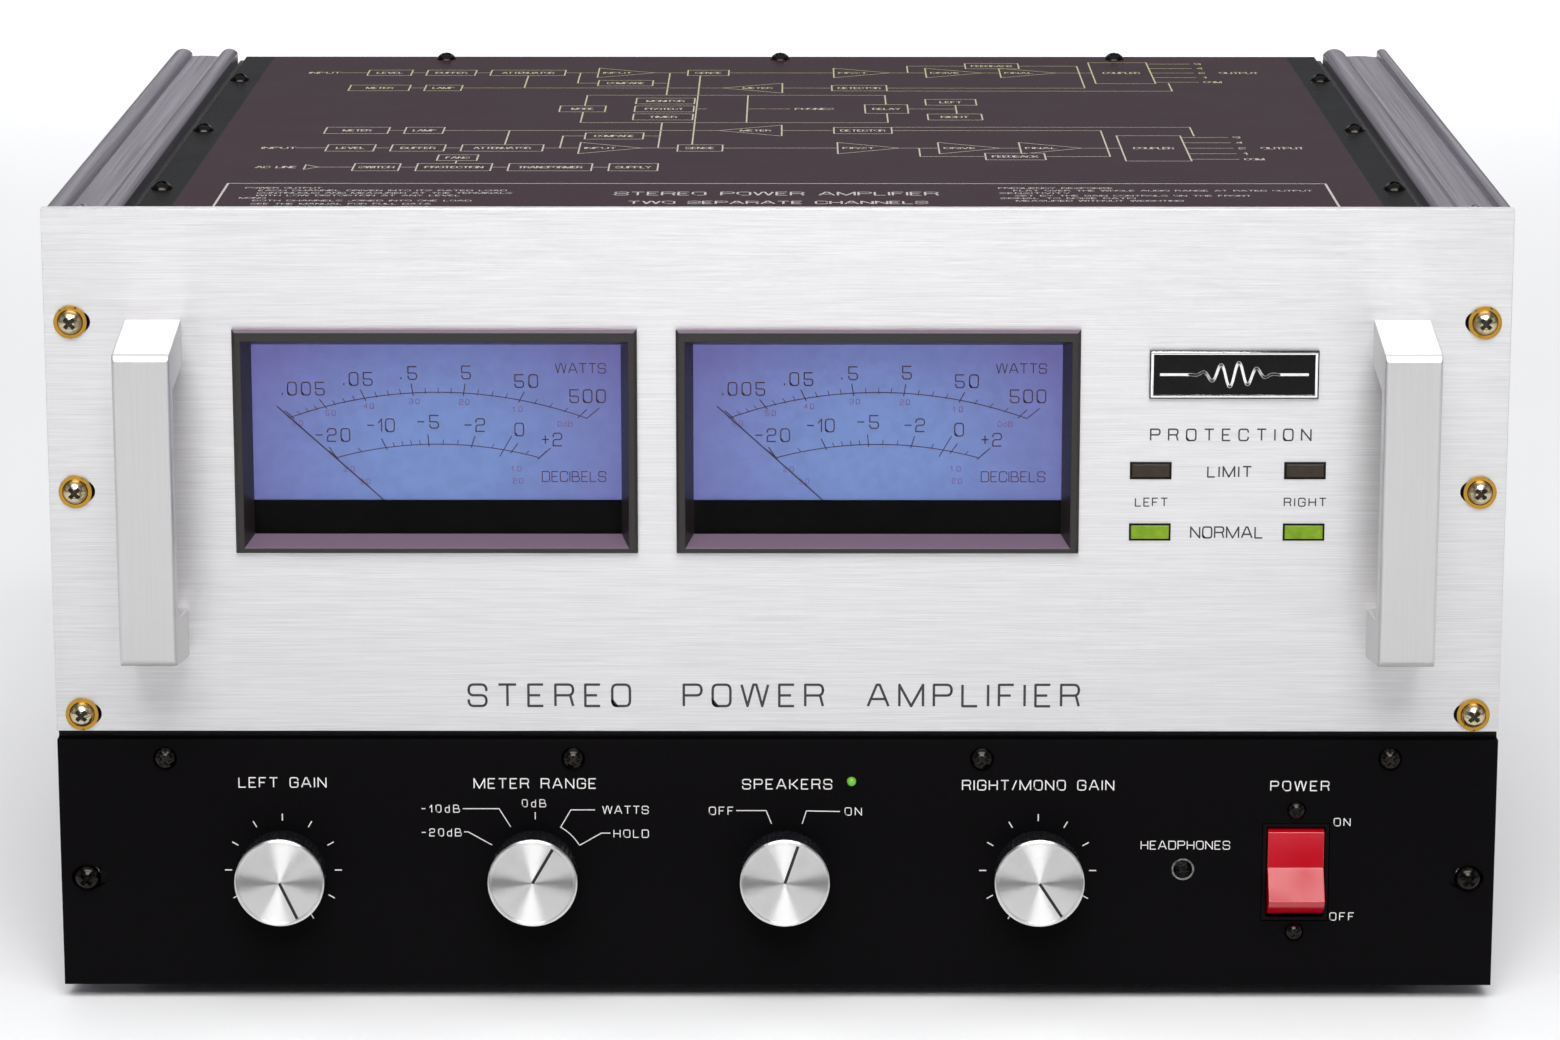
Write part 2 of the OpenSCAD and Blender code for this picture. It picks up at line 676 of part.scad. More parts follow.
// A flat stamped finger guard: rings joined by four spokes, with a screw eye at each corner
module fan_guards() color("silver") placed() for (side = [-1, 1])
    translate([side * fan_x, 0, fan_z]) run_back([chassis_d, chassis_d + 1.6]) {
        for (r = [10 : 8 : 42]) difference() {
            circle(r = r + 0.9);
            circle(r = r - 0.9);
        }
        for (a = [45, 135]) rotate(a) square([118, 3], center = true);
        for (a = [45 : 90 : 315]) rotate(a) translate([58, 0]) circle(r = 4.5);
    }

// A barrier strip for each channel: base, ribs between the ways, lug bar and five screws
module speaker_terminals() color([0.1, 0.1, 0.1]) placed() for (x = terminal_xs)
    translate([x, chassis_d, terminal_z]) {
        block([-56, 56], [0, 5], [-12, 12]);
        block([-51, 51], [-12, 1], [-4, 4]);
        for (i = [-3 : 3]) translate([i * 16, 0, 0]) block([-1, 1], [0, 12], [-12, 12]);
        for (i = [-2.5 : 2.5]) translate([i * 16, 0, 0]) rod_y(4, [4, 8]);
    }

module input_jacks() color([0.8, 0.65, 0.3]) placed() for (x = jack_xs)
    translate([x, chassis_d, jack_z]) difference() {
        union() {
            rod_y(phono_r, [0, 10]);
            rod_y(6, [0, 1.5]);
            rod_y(3.1, [-10, 1]);
        }
        rod_y(1.65, [2, 12]);
    }

module mode_switch_body() color("silver") placed() translate([0, chassis_d, mode_z]) difference() {
    union() {
        block([-18, 18], [0, 1.2], [-7, 7]);
        block([-8, 8], [-10, 1], [-5, 5]);
    }
    block([-6.2, 6.2], [-6, 2], [-3.2, 3.2]);
}

module mode_slider() color([0.05, 0.05, 0.05]) placed() translate([-2.5, chassis_d, mode_z]) {
    block([-3, 3], [-5.5, 5], [-2.85, 2.85]);
}

module cord_gland() color([0.07, 0.07, 0.07]) placed()
    translate([gland_at[0], chassis_d, gland_at[1]]) difference() {
        union() {
            rod_y(gland_r, [-12, 1]);
            rotate([-90, 0, 0]) cylinder(r = 12.5, h = 5, $fn = 6);
            rod_y(10, [4, gland_reach - 2]);
            translate([0, gland_reach - 2, 0]) rotate([-90, 0, 0]) cylinder(r1 = 10, r2 = 8, h = 2);
        }
        rod_y(gland_bore_r, [-13, gland_reach + 1]);
    }

// ---- inside ----

module power_transformer() color([0.35, 0.3, 0.25]) placed() {
    block([-62, 62], [70, 130], [base_top, 115]);
    block([-40, 40], [48, 152], [20, 98]);
    for (s = [-1, 1]) block([s * 62 - 8, s * 62 + 8], [62, 138], [base_top, base_top + 4]);
}

module autoformers() color([0.3, 0.25, 0.2]) placed() for (x = [-75, 75]) translate([x, 275, base_top]) {
    block([-45, 45], [-24, 24], [0, 80]);
    block([-28, 28], [-42, 42], [14, 66]);
}

module filter_capacitors() color([0.2, 0.3, 0.5]) placed() for (x = [-106, 106], y = [76, 152])
    translate([x, y, 0]) {
        rod_z(32, [base_top, 118]);
        for (dx = [-12, 12]) translate([dx, 0, 0]) rod_z(5, [117, 123]);
    }

// Each heatsink is a comb: a back plate on the inside and fins towards the wall
module heatsinks() color([0.12, 0.12, 0.13]) placed() for (side = [-1, 1]) sided(side) {
    block([146, 152], [110, 330], [20, 240]);
    for (i = [0 : 18]) block([151, 205], [111 + i * 12, 114 + i * 12], [20, 240]);
}

module output_transistors() color("silver") placed() for (side = [-1, 1], i = [0 : 4], z = [150, 190])
    translate([side * 146, 140 + i * 40, z]) rotate([0, -side * 90, 0]) {
        cylinder(r = 13, h = 1.6);
        cylinder(r = 10, h = 8);
    }

module driver_boards() color([0.15, 0.4, 0.2]) placed() for (side = [-1, 1]) sided(side) {
    block([20, 130], [60, 330], [140, 141.6]);
    for (i = [0 : 5]) block([30, 44], [75 + i * 42, 97 + i * 42], [141, 156]);
    for (i = [0 : 4]) translate([80, 90 + i * 45, 0]) rod_z(9, [141, 166]);
}

base_plate();
front_subpanel();
rear_panel();
side_wall_left();
side_wall_right();
top_cover();
side_rail_left();
side_rail_right();
faceplate();
control_panel();
handle_left();
handle_right();
handle_screws();
rubber_feet();
rack_screws();
control_panel_screws();
top_cover_screws();
rail_screws();
meter_bezel_left();
meter_bezel_right();
meter_glass_left();
meter_glass_right();
meter_dial_left();
meter_dial_right();
meter_cases();
meter_movements();
needle_left();
needle_right();
name_badge();
limit_lenses();
normal_lenses();
knob_left_gain();
knob_meter_range();
knob_speakers();
knob_right_gain();
cap_left_gain();
cap_meter_range();
cap_speakers();
cap_right_gain();
gain_pots();
rotary_switches();
power_switch_body();
power_rocker();
headphone_jack();
speaker_led();
power_transformer();
autoformers();
filter_capacitors();
heatsinks();
output_transistors();
driver_boards();
fan_frames();
fan_rotor_left();
fan_rotor_right();
fan_guards();
speaker_terminals();
input_jacks();
mode_switch_body();
mode_slider();
cord_gland();
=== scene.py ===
import json
import math

import bmesh
import bpy
from mathutils import Matrix, Vector


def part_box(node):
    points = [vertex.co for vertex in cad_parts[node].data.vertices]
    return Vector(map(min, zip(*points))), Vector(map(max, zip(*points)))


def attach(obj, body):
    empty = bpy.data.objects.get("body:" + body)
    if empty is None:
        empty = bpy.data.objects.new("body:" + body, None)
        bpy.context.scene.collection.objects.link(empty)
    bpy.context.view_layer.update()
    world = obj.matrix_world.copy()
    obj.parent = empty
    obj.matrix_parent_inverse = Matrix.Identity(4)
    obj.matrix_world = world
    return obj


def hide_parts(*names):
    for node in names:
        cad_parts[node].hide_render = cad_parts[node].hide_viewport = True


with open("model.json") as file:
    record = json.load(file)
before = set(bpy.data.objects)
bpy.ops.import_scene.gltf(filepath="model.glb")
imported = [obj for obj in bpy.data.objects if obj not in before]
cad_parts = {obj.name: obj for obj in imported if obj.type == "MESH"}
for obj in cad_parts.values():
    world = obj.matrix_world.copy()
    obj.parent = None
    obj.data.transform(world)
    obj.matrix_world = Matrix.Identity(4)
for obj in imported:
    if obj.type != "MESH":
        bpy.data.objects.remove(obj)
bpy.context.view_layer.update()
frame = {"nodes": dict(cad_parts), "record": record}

# ---- Chassis ------------------------------------------------------------------------------------
# The base, sub-panel, rear panel and side walls are folded steel sheet, sprayed with a black
# enamel that dries to a fine leathery texture. Each sheet is seen only at its outer face.


def finish(name, colour, metallic=0.0, roughness=0.5, **sockets):
    """A surface finish on the Principled shader; a socket's name is given with _ for its spaces."""
    material = bpy.data.materials.new(name)
    material.use_nodes = True
    shader = material.node_tree.nodes["Principled BSDF"]
    shader.inputs["Base Color"].default_value = (*colour, 1)
    shader.inputs["Metallic"].default_value = metallic
    shader.inputs["Roughness"].default_value = roughness
    for socket, value in sockets.items():
        shader.inputs[socket.replace("_", " ")].default_value = value
    return material


def add(material, kind, inputs, **settings):
    """Adds one shader node, sets or links its inputs, and returns it."""
    tree = material.node_tree
    node = tree.nodes.new("ShaderNode" + kind)
    for name, value in settings.items():
        setattr(node, name, value)
    for name, value in inputs.items():
        if isinstance(value, bpy.types.NodeSocket):
            tree.links.new(value, node.inputs[name])
        else:
            node.inputs[name].default_value = value
    return node


def feed(material, socket, value):
    """Links an output to a socket of the finish's own shader."""
    shader = material.node_tree.nodes["Principled BSDF"]
    material.node_tree.links.new(value, shader.inputs[socket])


def placed(material, stretch=(1, 1, 1), shift=(0, 0, 0), turn=(0, 0, 0)):
    """The point on the object, moved, turned and stretched for a pattern to read."""
    spot = add(material, "TexCoord", {}).outputs["Object"]
    mapping = {"Vector": spot, "Location": shift, "Rotation": turn, "Scale": stretch}
    return add(material, "Mapping", mapping).outputs["Vector"]


def speckle(material, scale, stretch=(1, 1, 1), detail=2.0):
    """A soft random pattern from 0 to 1; scale is in cycles per metre."""
    spot = placed(material, stretch)
    return add(material, "TexNoise", {"Vector": spot, "Scale": scale, "Detail": detail}).outputs["Fac"]


def spread(material, value, low, high):
    """Spreads a random pattern's middle range from low to high."""
    limits = {"Value": value, "From Min": 0.3, "From Max": 0.7, "To Min": low, "To Max": high}
    return add(material, "MapRange", limits).outputs["Result"]


def tint(material, value, dark, light):
    """Colours the finish from dark to light along a pattern."""
    mix = add(material, "Mix", {"Factor": value}, data_type="RGBA")
    mix.inputs["A"].default_value = (*dark, 1)
    mix.inputs["B"].default_value = (*light, 1)
    feed(material, "Base Color", mix.outputs["Result"])


def relief(material, value, depth):
    """Raises the surface along a pattern, by depth in metres."""
    bump = add(material, "Bump", {"Height": value, "Distance": depth, "Strength": 1.0})
    feed(material, "Normal", bump.outputs["Normal"])


def dress(material, *nodes):
    """Gives CAD nodes that keep their own shape a finish."""
    for node in nodes:
        frame["nodes"][node].material_slots[0].material = material


enamel = finish("black_enamel", (0.012, 0.012, 0.013), roughness=0.42, Specular_IOR_Level=0.25)
leather_grain = speckle(enamel, 900, detail=3)
feed(enamel, "Roughness", spread(enamel, leather_grain, 0.34, 0.52))
tint(enamel, speckle(enamel, 14), (0.010, 0.010, 0.011), (0.016, 0.015, 0.017))
relief(enamel, leather_grain, 0.00008)
dress(enamel, "base_plate", "front_subpanel", "rear_panel", "side_wall_left", "side_wall_right")

# ---- Faceplate ----------------------------------------------------------------------------------
# Four rack units of aluminium plate, brushed from side to side and clear anodised. Its edges are
# broken with a file, so they catch a thin line of light.
MM = 0.001
FACE_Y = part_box("faceplate")[0][1]
BOTTOM_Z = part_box("control_panel")[0][2]


def at(x, depth, z):
    """A place in metres from its millimetres right of the middle, behind the panels and up them."""
    return Vector((x * MM, FACE_Y + depth * MM, BOTTOM_Z + z * MM))


def keep(name, mesh, material, body="chassis"):
    """Makes a finished mesh into a piece that rides on a body."""
    mesh.materials.clear()
    mesh.materials.append(material)
    piece = bpy.data.objects.new(name, mesh)
    bpy.context.scene.collection.objects.link(piece)
    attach(piece, body)
    return piece


def mesh_of(bm, name, sharp=35):
    """Turns a bmesh into a mesh that is smooth except at its sharp edges."""
    mesh = bpy.data.meshes.new(name)
    bm.to_mesh(mesh)
    bm.free()
    mesh.polygons.foreach_set("use_smooth", [True] * len(mesh.polygons))
    mesh.set_sharp_from_angle(angle=math.radians(sharp))
    return mesh


def eased(node, radius, material, shortest=0.0, segments=2, sharp=35):
    """A copy of a CAD node with its long sharp edges rounded, which stands in for the node.

    The copy drops the CAD's stored normals and merges its corners, so that it can be bevelled.
    """
    bm = bmesh.new()
    bm.from_mesh(frame["nodes"][node].data)
    for layer in list(bm.loops.layers.float_vector.values()):
        bm.loops.layers.float_vector.remove(layer)
    bmesh.ops.remove_doubles(bm, verts=bm.verts, dist=0.002 * MM)
    bmesh.ops.dissolve_limit(bm, angle_limit=math.radians(0.5), verts=bm.verts, edges=bm.edges)
    edges = [
        edge
        for edge in bm.edges
        if len(edge.link_faces) == 2
        and edge.calc_face_angle() > math.radians(sharp)
        and edge.calc_length() > shortest * MM
    ]
    bmesh.ops.bevel(bm, geom=edges, offset=radius * MM, offset_type="OFFSET", segments=segments,
                    profile=0.5, affect="EDGES", clamp_overlap=True, material=-1)
    bmesh.ops.triangulate(bm, faces=[face for face in bm.faces if len(face.verts) > 4])
    body = frame["record"]["behaviour"]["bodies"]
    rides_on = next(name for name, nodes in body.items() if node in nodes)
    piece = keep(node + "_shaped", mesh_of(bm, node + "_shaped"), material, rides_on)
    piece.modifiers.new("even_shading", "WEIGHTED_NORMAL").keep_sharp = True
    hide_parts(node)
    return piece


brushed = finish("brushed_aluminium", (0.74, 0.735, 0.74), metallic=1.0, roughness=0.4, Anisotropic=0.6,
                 Anisotropic_Rotation=0.25)
long_scratches = speckle(brushed, 1, (45, 600, 4200), 5)
short_scratches = speckle(brushed, 1, (160, 600, 7000), 2)
tint(brushed, spread(brushed, long_scratches, 0, 1), (0.68, 0.67, 0.675), (0.82, 0.81, 0.815))
feed(brushed, "Roughness", spread(brushed, short_scratches, 0.36, 0.48))
relief(brushed, long_scratches, 0.00004)
feed(brushed, "Tangent", add(brushed, "CombineXYZ", {"X": 1.0}).outputs["Vector"])
eased("faceplate", 0.35, brushed, shortest=40)

# ---- Control panel ------------------------------------------------------------------------------
# Two rack units of black anodised plate below the faceplate. Its front is fine satin, with faint
# dust and rubbing that only shows where the light grazes it.
black_anodised = finish("black_anodised", (0.003, 0.003, 0.003), roughness=0.33, Specular_IOR_Level=0.015)
rubbing = speckle(black_anodised, 9, (1, 1, 2.5), 5)
feed(black_anodised, "Roughness", spread(black_anodised, rubbing, 0.28, 0.4))
tint(black_anodised, speckle(black_anodised, 2600, detail=1), (0.002, 0.002, 0.002), (0.006, 0.005, 0.006))
relief(black_anodised, speckle(black_anodised, 1800), 0.00003)
eased("control_panel", 0.3, black_anodised, shortest=40)

# ---- Lettering ----------------------------------------------------------------------------------
# All the legends are screen printed in one wide, square-shouldered engraver's alphabet. Each
# letter is a few pen strokes on a grid six units high, and its right-angled corners are rounded.
# A letter's entry is its width, then its strokes; ! keeps a corner square and | lifts the pen.
GRID_TALL = 6
INK_LIFT = 0.01
LETTERS = {
    "A": (7, "00 36 46 70|12 62"), "B": (6, "03 53 56 06! 00! 60 63 53"),
    "C": (6, "65 66 06 00 60 61"), "D": (6, "00! 06! 66 60 00!"), "E": (5, "56 06! 00! 50|03 43"),
    "F": (5, "56 06! 00|03 43"), "G": (6, "65 66 06 00 60 63! 33"), "H": (6, "00 06|60 66|03 63"),
    "I": (0, "00 06"), "J": (5, "56 50 00 02"), "K": (6, "00 06|03 23 66|23 60"),
    "L": (5, "06 00! 50"), "M": (8, "00 06 40 86 80"), "N": (6, "00 06 60 66"),
    "O": (6, "00 06 66 60 00"), "P": (6, "00 06! 66 63 03"), "Q": (6, "00 06 66 60 00|42 60"),
    "R": (6, "00 06! 66 63 03|53 60"), "S": (6, "65 66 06 03 63 60 00 01"), "T": (6, "06 66|36 30"),
    "U": (6, "06 00 60 66"), "V": (6, "06 30 66"), "W": (9, "06 20 46 56 70 96"),
    "X": (6, "00 66|06 60"), "Y": (6, "06 33 66|33 30"), "Z": (6, "06 66 00 60"),
    "0": (5, "00 06 56 50 00"), "1": (2, "04 26 20"), "2": (5, "05 06 56 53 03 00! 50"),
    "3": (5, "05 06 56 50 00 01|13 53"), "4": (5, "40 46 02! 52"), "5": (5, "56 06! 03! 53 50 00 01"),
    "6": (5, "55 56 06 00 50 53 03"), "7": (5, "06 56! 20"), "8": (5, "00 06 56 50 00|03 53"),
    "9": (5, "01 00 50 56 06 03 53"), ".": (0, "00 01"), "-": (4, "03 43"), "+": (4, "03 43|21 25"),
    "/": (3, "00 36"), " ": (4, ""), "d": (4, "46 40! 00 04 44"),
}


def rounded(points, sharp, radius):
    """A line of strokes with each square corner that isn't marked sharp turned into a curve."""
    closed = points[0] == points[-1]
    path = []
    for i, here in enumerate(points):
        ends = i in (0, len(points) - 1)
        before = points[i - 1] if i else points[-2]
        after = points[i + 1] if i + 1 < len(points) else points[1]
        square = abs((here - before).dot(after - here)) < 1e-6
        if sharp[i] or not square or (ends and not closed):
            path.append(here)
            continue
        start = here + (before - here).normalized() * radius
        stop = here + (after - here).normalized() * radius
        for step in range(5):
            t = step / 4
            path.append(start * (1 - t) ** 2 + here * 2 * t * (1 - t) + stop * t ** 2)
    if closed:
        path.append(path[0])
    return path


def spell(text, left, right, middle, cap, lean=1.6):
    """The pen strokes of a legend letter-spaced from left to right, about its middle height."""
    natural = sum(LETTERS[c][0] for c in text)
    tall = cap / GRID_TALL
    wide = min(0.8 * tall, (right - left) / (natural + 1.8 * (len(text) - 1)))
    gap = (right - left - natural * wide) / max(len(text) - 1, 1)
    strokes = []
    x = left if len(text) > 1 else (left + right - natural * wide) / 2
    for c in text:
        width, drawing = LETTERS[c]
        for stroke in filter(None, drawing.split("|")):
            marks = stroke.split()
            grid = [Vector((int(mark[0]), int(mark[1]))) for mark in marks]
            path = rounded(grid, [mark.endswith("!") for mark in marks], lean)
            strokes.append([(x + p.x * wide, middle - cap / 2 + p.y * tall) for p in path])
        x += width * wide + gap
    return strokes


def arc(centre, radius, start, stop, steps):
    """Points round a circle; angles are clockwise from straight up, in degrees."""
    turns = [math.radians(start + (stop - start) * i / steps) for i in range(steps + 1)]
    return [(centre[0] + radius * math.sin(t), centre[1] + radius * math.cos(t)) for t in turns]


def printed(name, batches, lay, material, body="chassis"):
    """Ink lines laid on a face. Each batch is some strokes and their pen width, in millimetres.

    Strokes that cross lie a few thousandths of a millimetre apart, so their faces never fight.
    """
    ink = bmesh.new()
    for strokes, width in batches:
        for stroke in strokes:
            points = [Vector((x, y, 0)) for x, y in stroke]
            for i, (a, b) in enumerate(zip(points, points[1:])):
                aside = (b - a).normalized().cross(Vector((0, 0, width / 2)))
                lift = Vector((0, 0, 0.004 * (i % 2)))
                corners = (a + aside, b + aside, b - aside, a - aside)
                ink.faces.new([ink.verts.new(corner + lift) for corner in corners])
            bends = points[1:-1] + ([points[0]] if points[0] == points[-1] else [])
            for p in bends:
                reach = Vector((width / 2, 0, 0.008))
                spokes = [Matrix.Rotation(math.pi * k / 4, 3, "Z") @ reach for k in range(8)]
                ink.faces.new([ink.verts.new(p + spoke) for spoke in spokes])
    bmesh.ops.transform(ink, matrix=lay, verts=ink.verts)
    return keep(name, mesh_of(ink, name), material, body)


def on_front(depth, x=0.0, z=0.0):
    """Lays millimetre drawing on a face that looks forward, at a depth behind the panels."""
    return Matrix.Translation(at(x, depth, z)) @ Matrix.Rotation(math.pi / 2, 4, "X") @ Matrix.Scale(MM, 4)


black_ink = finish("black_ink", (0.02, 0.019, 0.02), roughness=0.45)
tint(black_ink, speckle(black_ink, 700), (0.012, 0.012, 0.013), (0.05, 0.048, 0.05))
white_ink = finish("white_ink", (0.78, 0.77, 0.76), roughness=0.5)
tint(white_ink, speckle(white_ink, 700), (0.62, 0.61, 0.6), (0.86, 0.85, 0.84))

title = (
    spell("STEREO", -103.2, -49.3, 101.3, 7.4)
    + spell("POWER", -31.3, 15.2, 101.3, 7.4)
    + spell("AMPLIFIER", 30.2, 100.7, 101.3, 7.4)
)
lamp_legends = (
    spell("PROTECTION", 123.3, 176.2, 190.4, 3.8)
    + spell("LIMIT", 142.4, 156.8, 177.9, 3.5)
    + spell("NORMAL", 137.1, 160.9, 157.3, 3.7)
)
channel_legends = spell("LEFT", 118.6, 129.2, 167.6, 2.7) + spell("RIGHT", 167.9, 181.7, 167.6, 2.7)
printed("faceplate_print", [(title, 0.85), (lamp_legends, 0.52), (channel_legends, 0.42)],
        on_front(-INK_LIFT), black_ink)

KNOB_XS = (-166.4, -81.8, 2.5, 87.6)
KNOB_Z = 40.4
HOLD_ARC_R = 17.5
TICK_INNER_R, TICK_OUTER_R = 17.3, 19.7
panel_legends = (
    spell("LEFT GAIN", -180.7, -151.5, 71.0, 3.3)
    + spell("METER RANGE", -101.8, -61.0, 70.7, 3.3)
    + spell("SPEAKERS", -11.7, 18.2, 70.5, 3.3)
    + spell("RIGHT/MONO GAIN", 62.1, 112.8, 70.2, 3.3)
    + spell("POWER", 165.5, 185.0, 70.0, 3.2)
)
switch_legends = (
    spell("HEADPHONES", 122.3, 152.1, 49.3, 2.8)
    + spell("0dB", -85.7, -77.8, 63.8, 2.5)
    + spell("-10dB", -119.6, -106.8, 61.9, 2.5)
    + spell("-20dB", -119.6, -106.3, 53.6, 2.5)
    + spell("WATTS", -58.7, -43.4, 61.5, 2.6)
    + spell("HOLD", -55.0, -43.4, 53.2, 2.6)
    + spell("OFF", -22.9, -14.9, 61.2, 2.6)
    + spell("ON", 22.7, 28.2, 61.0, 2.6)
    + spell("ON", 187.0, 192.4, 57.4, 2.6)
    + spell("OFF", 186.3, 194.4, 24.3, 2.6)
)
leaders = [
    [(-105.7, 61.9), (-93.5, 61.9), (-89.7, 55.6)],
    [(-105.4, 53.8), (-104.0, 53.8), (-96.0, 49.2)],
    [(-81.4, 60.7), (-81.4, 58.2)],
    [(-61.3, 61.5), (-69.4, 61.5), (-72.8, 55.6)],
    [(-56.2, 53.4), (-59.2, 53.4), (-66.6, 49.1)],
    [(-13.9, 61.3), (-3.8, 61.3), (-2.0, 56.7)],
    [(20.9, 61.0), (9.7, 61.2), (8.3, 56.7)],
]
hold_arc = [arc((KNOB_XS[1], KNOB_Z), HOLD_ARC_R, 30, 60, 8)]
ticks = [
    [arc((x, KNOB_Z), r, angle, angle, 1)[0] for r in (TICK_INNER_R, TICK_OUTER_R)]
    for x in (KNOB_XS[0], KNOB_XS[3])
    for angle in range(-150, 151, 30)
]
printed("control_panel_print",
        [(panel_legends, 0.38), (switch_legends, 0.29), (leaders + hold_arc, 0.32), (ticks, 0.4)],
        on_front(-INK_LIFT), white_ink)

# ---- Handles ------------------------------------------------------------------------------------
# Two cast and machined aluminium grab handles, bolted on from behind. They are satin finished
# along their length, with bright chamfers at the ends of the bar.
satin = finish("satin_aluminium", (0.68, 0.67, 0.67), metallic=1.0, roughness=0.42)
fine_lines = speckle(satin, 1, (3200, 3200, 30), 4)
tint(satin, fine_lines, (0.61, 0.60, 0.60), (0.74, 0.73, 0.73))
feed(satin, "Roughness", spread(satin, fine_lines, 0.36, 0.5))
relief(satin, fine_lines, 0.00003)
for side in ("left", "right"):
    eased("handle_" + side, 0.5, satin, segments=3, sharp=20)

# ---- Side rails ---------------------------------------------------------------------------------
# Grey anodised aluminium extrusions down both sides of the chassis. Die lines run the length of
# each rail, and the two lips and the crowned flange between them are one profile.
extruded = finish("grey_extrusion", (0.36, 0.335, 0.37), metallic=1.0, roughness=0.34)
die_lines = speckle(extruded, 1, (1600, 8, 1600), 3)
tint(extruded, die_lines, (0.29, 0.27, 0.30), (0.42, 0.39, 0.44))
feed(extruded, "Roughness", spread(extruded, die_lines, 0.32, 0.48))
relief(extruded, die_lines, 0.00004)
for side in ("left", "right"):
    eased("side_rail_" + side, 0.25, extruded, shortest=30)

# ---- Top cover ----------------------------------------------------------------------------------
# A black gloss steel cover, with a plum reflection painted over its middle and the margins where its
# screws go left plain black. A pale block diagram of the two channels is printed on it, behind an outlined
# panel of small print.
cover_gloss = finish("black_gloss_painted_plum", (0.03, 0.014, 0.02), roughness=0.3, Specular_IOR_Level=0.04)
across = add(cover_gloss, "SeparateXYZ", {"Vector": placed(cover_gloss)}).outputs["X"]
reach = add(cover_gloss, "Math", {0: across}, operation="ABSOLUTE").outputs["Value"]
MARGIN_X = 202 * MM
# The middle of the cover is painted plum as a painted reflection on the gloss; past MARGIN_X it stays plain
# black.
past_painted_reflection = add(cover_gloss, "Math", {0: reach, 1: MARGIN_X}, operation="GREATER_THAN").outputs["Value"]
tint(cover_gloss, past_painted_reflection, (0.036, 0.016, 0.022), (0.003, 0.003, 0.002))
feed(cover_gloss, "Roughness", spread(cover_gloss, speckle(cover_gloss, 40, detail=4), 0.22, 0.32))
relief(cover_gloss, speckle(cover_gloss, 500), 0.00002)
eased("top_cover", 0.3, cover_gloss, shortest=40)

COVER_TOP = (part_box("top_cover")[1][2] - BOTTOM_Z) / MM
MIDDLE = 250.5
BOX_DEEP = 15


def box_round(left, right, y, label, deep=BOX_DEEP):
    """A labelled block of the diagram, drawn round a row y millimetres behind the panels."""
    low, high = y - deep / 2, y + deep / 2
    outline = [(left, low), (right, low), (right, high), (left, high), (left, low)]
    inset = max((right - left - 2.0 * len(label)) / 2, 1.2)
    return [outline] + spell(label, left + inset, right - inset, y, 4.2)


def triangle(back, tip, y, label):
    """An amplifier symbol of the diagram, pointing from its back to its tip."""
    outline = [(back, y - 13), (tip, y), (back, y + 13), (back, y - 13)]
    start = min(back, tip) + (2 if tip > back else 8)
    return [outline] + spell(label, start, start + 11, y, 3.4)


def channel(side):
    """One channel's half of the diagram, nearer (-1) or further (1) than the middle line."""
    main, limiter, meter, bus, feedback = (MIDDLE + side * d for d in (94.5, 66.5, 53.5, 34.5, 113.5))
    drawing = spell("INPUT", -184, -172, main, 4)
    for blocks, y in (
        (((-161, -144, "LEVEL"), (-138, -119, "BUFFER"), (-113, -84, "ATTENUATOR")), main),
        (((-165, -142, "METER"), (-136, -122, "LAMP")), meter),
        (((-70, -49, "COMPARE"),), limiter),
        (((-36, -20, "SENSE"),), main),
        (((20, 41, "DETECTOR"),), meter),
        (((73, 94, "FEEDBACK"),), feedback),
    ):
        for left, right, label in blocks:
            drawing += box_round(left, right, y, label)
    for back, tip, y, label in (
        (-71, -49, main, "INPUT"), (21, 43, main, "FIRST"), (57, 79, main, "DRIVE"),
        (86, 108, main, "FINAL"), (1, -22, meter, "METER"),
    ):
        drawing += triangle(back, tip, y, label)
    drawing += box_round(122, 145, main, "COUPLER", 58)
    wires = [(-172, -161), (-144, -138), (-119, -113), (-84, -71), (-49, -36), (-20, 21), (43, 57),
             (79, 86), (108, 122)]
    drawing += [[(a, main), (b, main)] for a, b in wires]
    drawing += [[(-122, meter), (-22, meter)], [(-142, meter), (-136, meter)], [(1, meter), (20, meter)]]
    drawing += [[(-98, main - side * 7), (-98, meter)], [(-73, bus), (40, bus)], [(-43, main), (-43, bus)]]
    drawing += [[(-49, limiter), (-43, limiter)], [(-70, limiter), (-78, limiter), (-78, main)]]
    drawing += [[(50, main), (50, feedback), (73, feedback)], [(94, feedback), (117, feedback), (117, main)]]
    drawing += [[(41, meter), (117, meter), (117, main)]]
    drawing += [[(41, meter - side * 8), (150, meter - side * 8), (150, main - side * 28)]]
    for tap in range(-2, 3):
        drawing.append([(145, main + tap * 12.5), (162, main + tap * 12.5)])
    for tap, label in zip(range(-2, 3), ("8", "4", "2", "1", "COM")):
        drawing += spell(label, 164, 164 + 2.2 * len(label), main - tap * 12.5, 4)
    return drawing + spell("OUTPUT", 172, 187, main, 4.4)


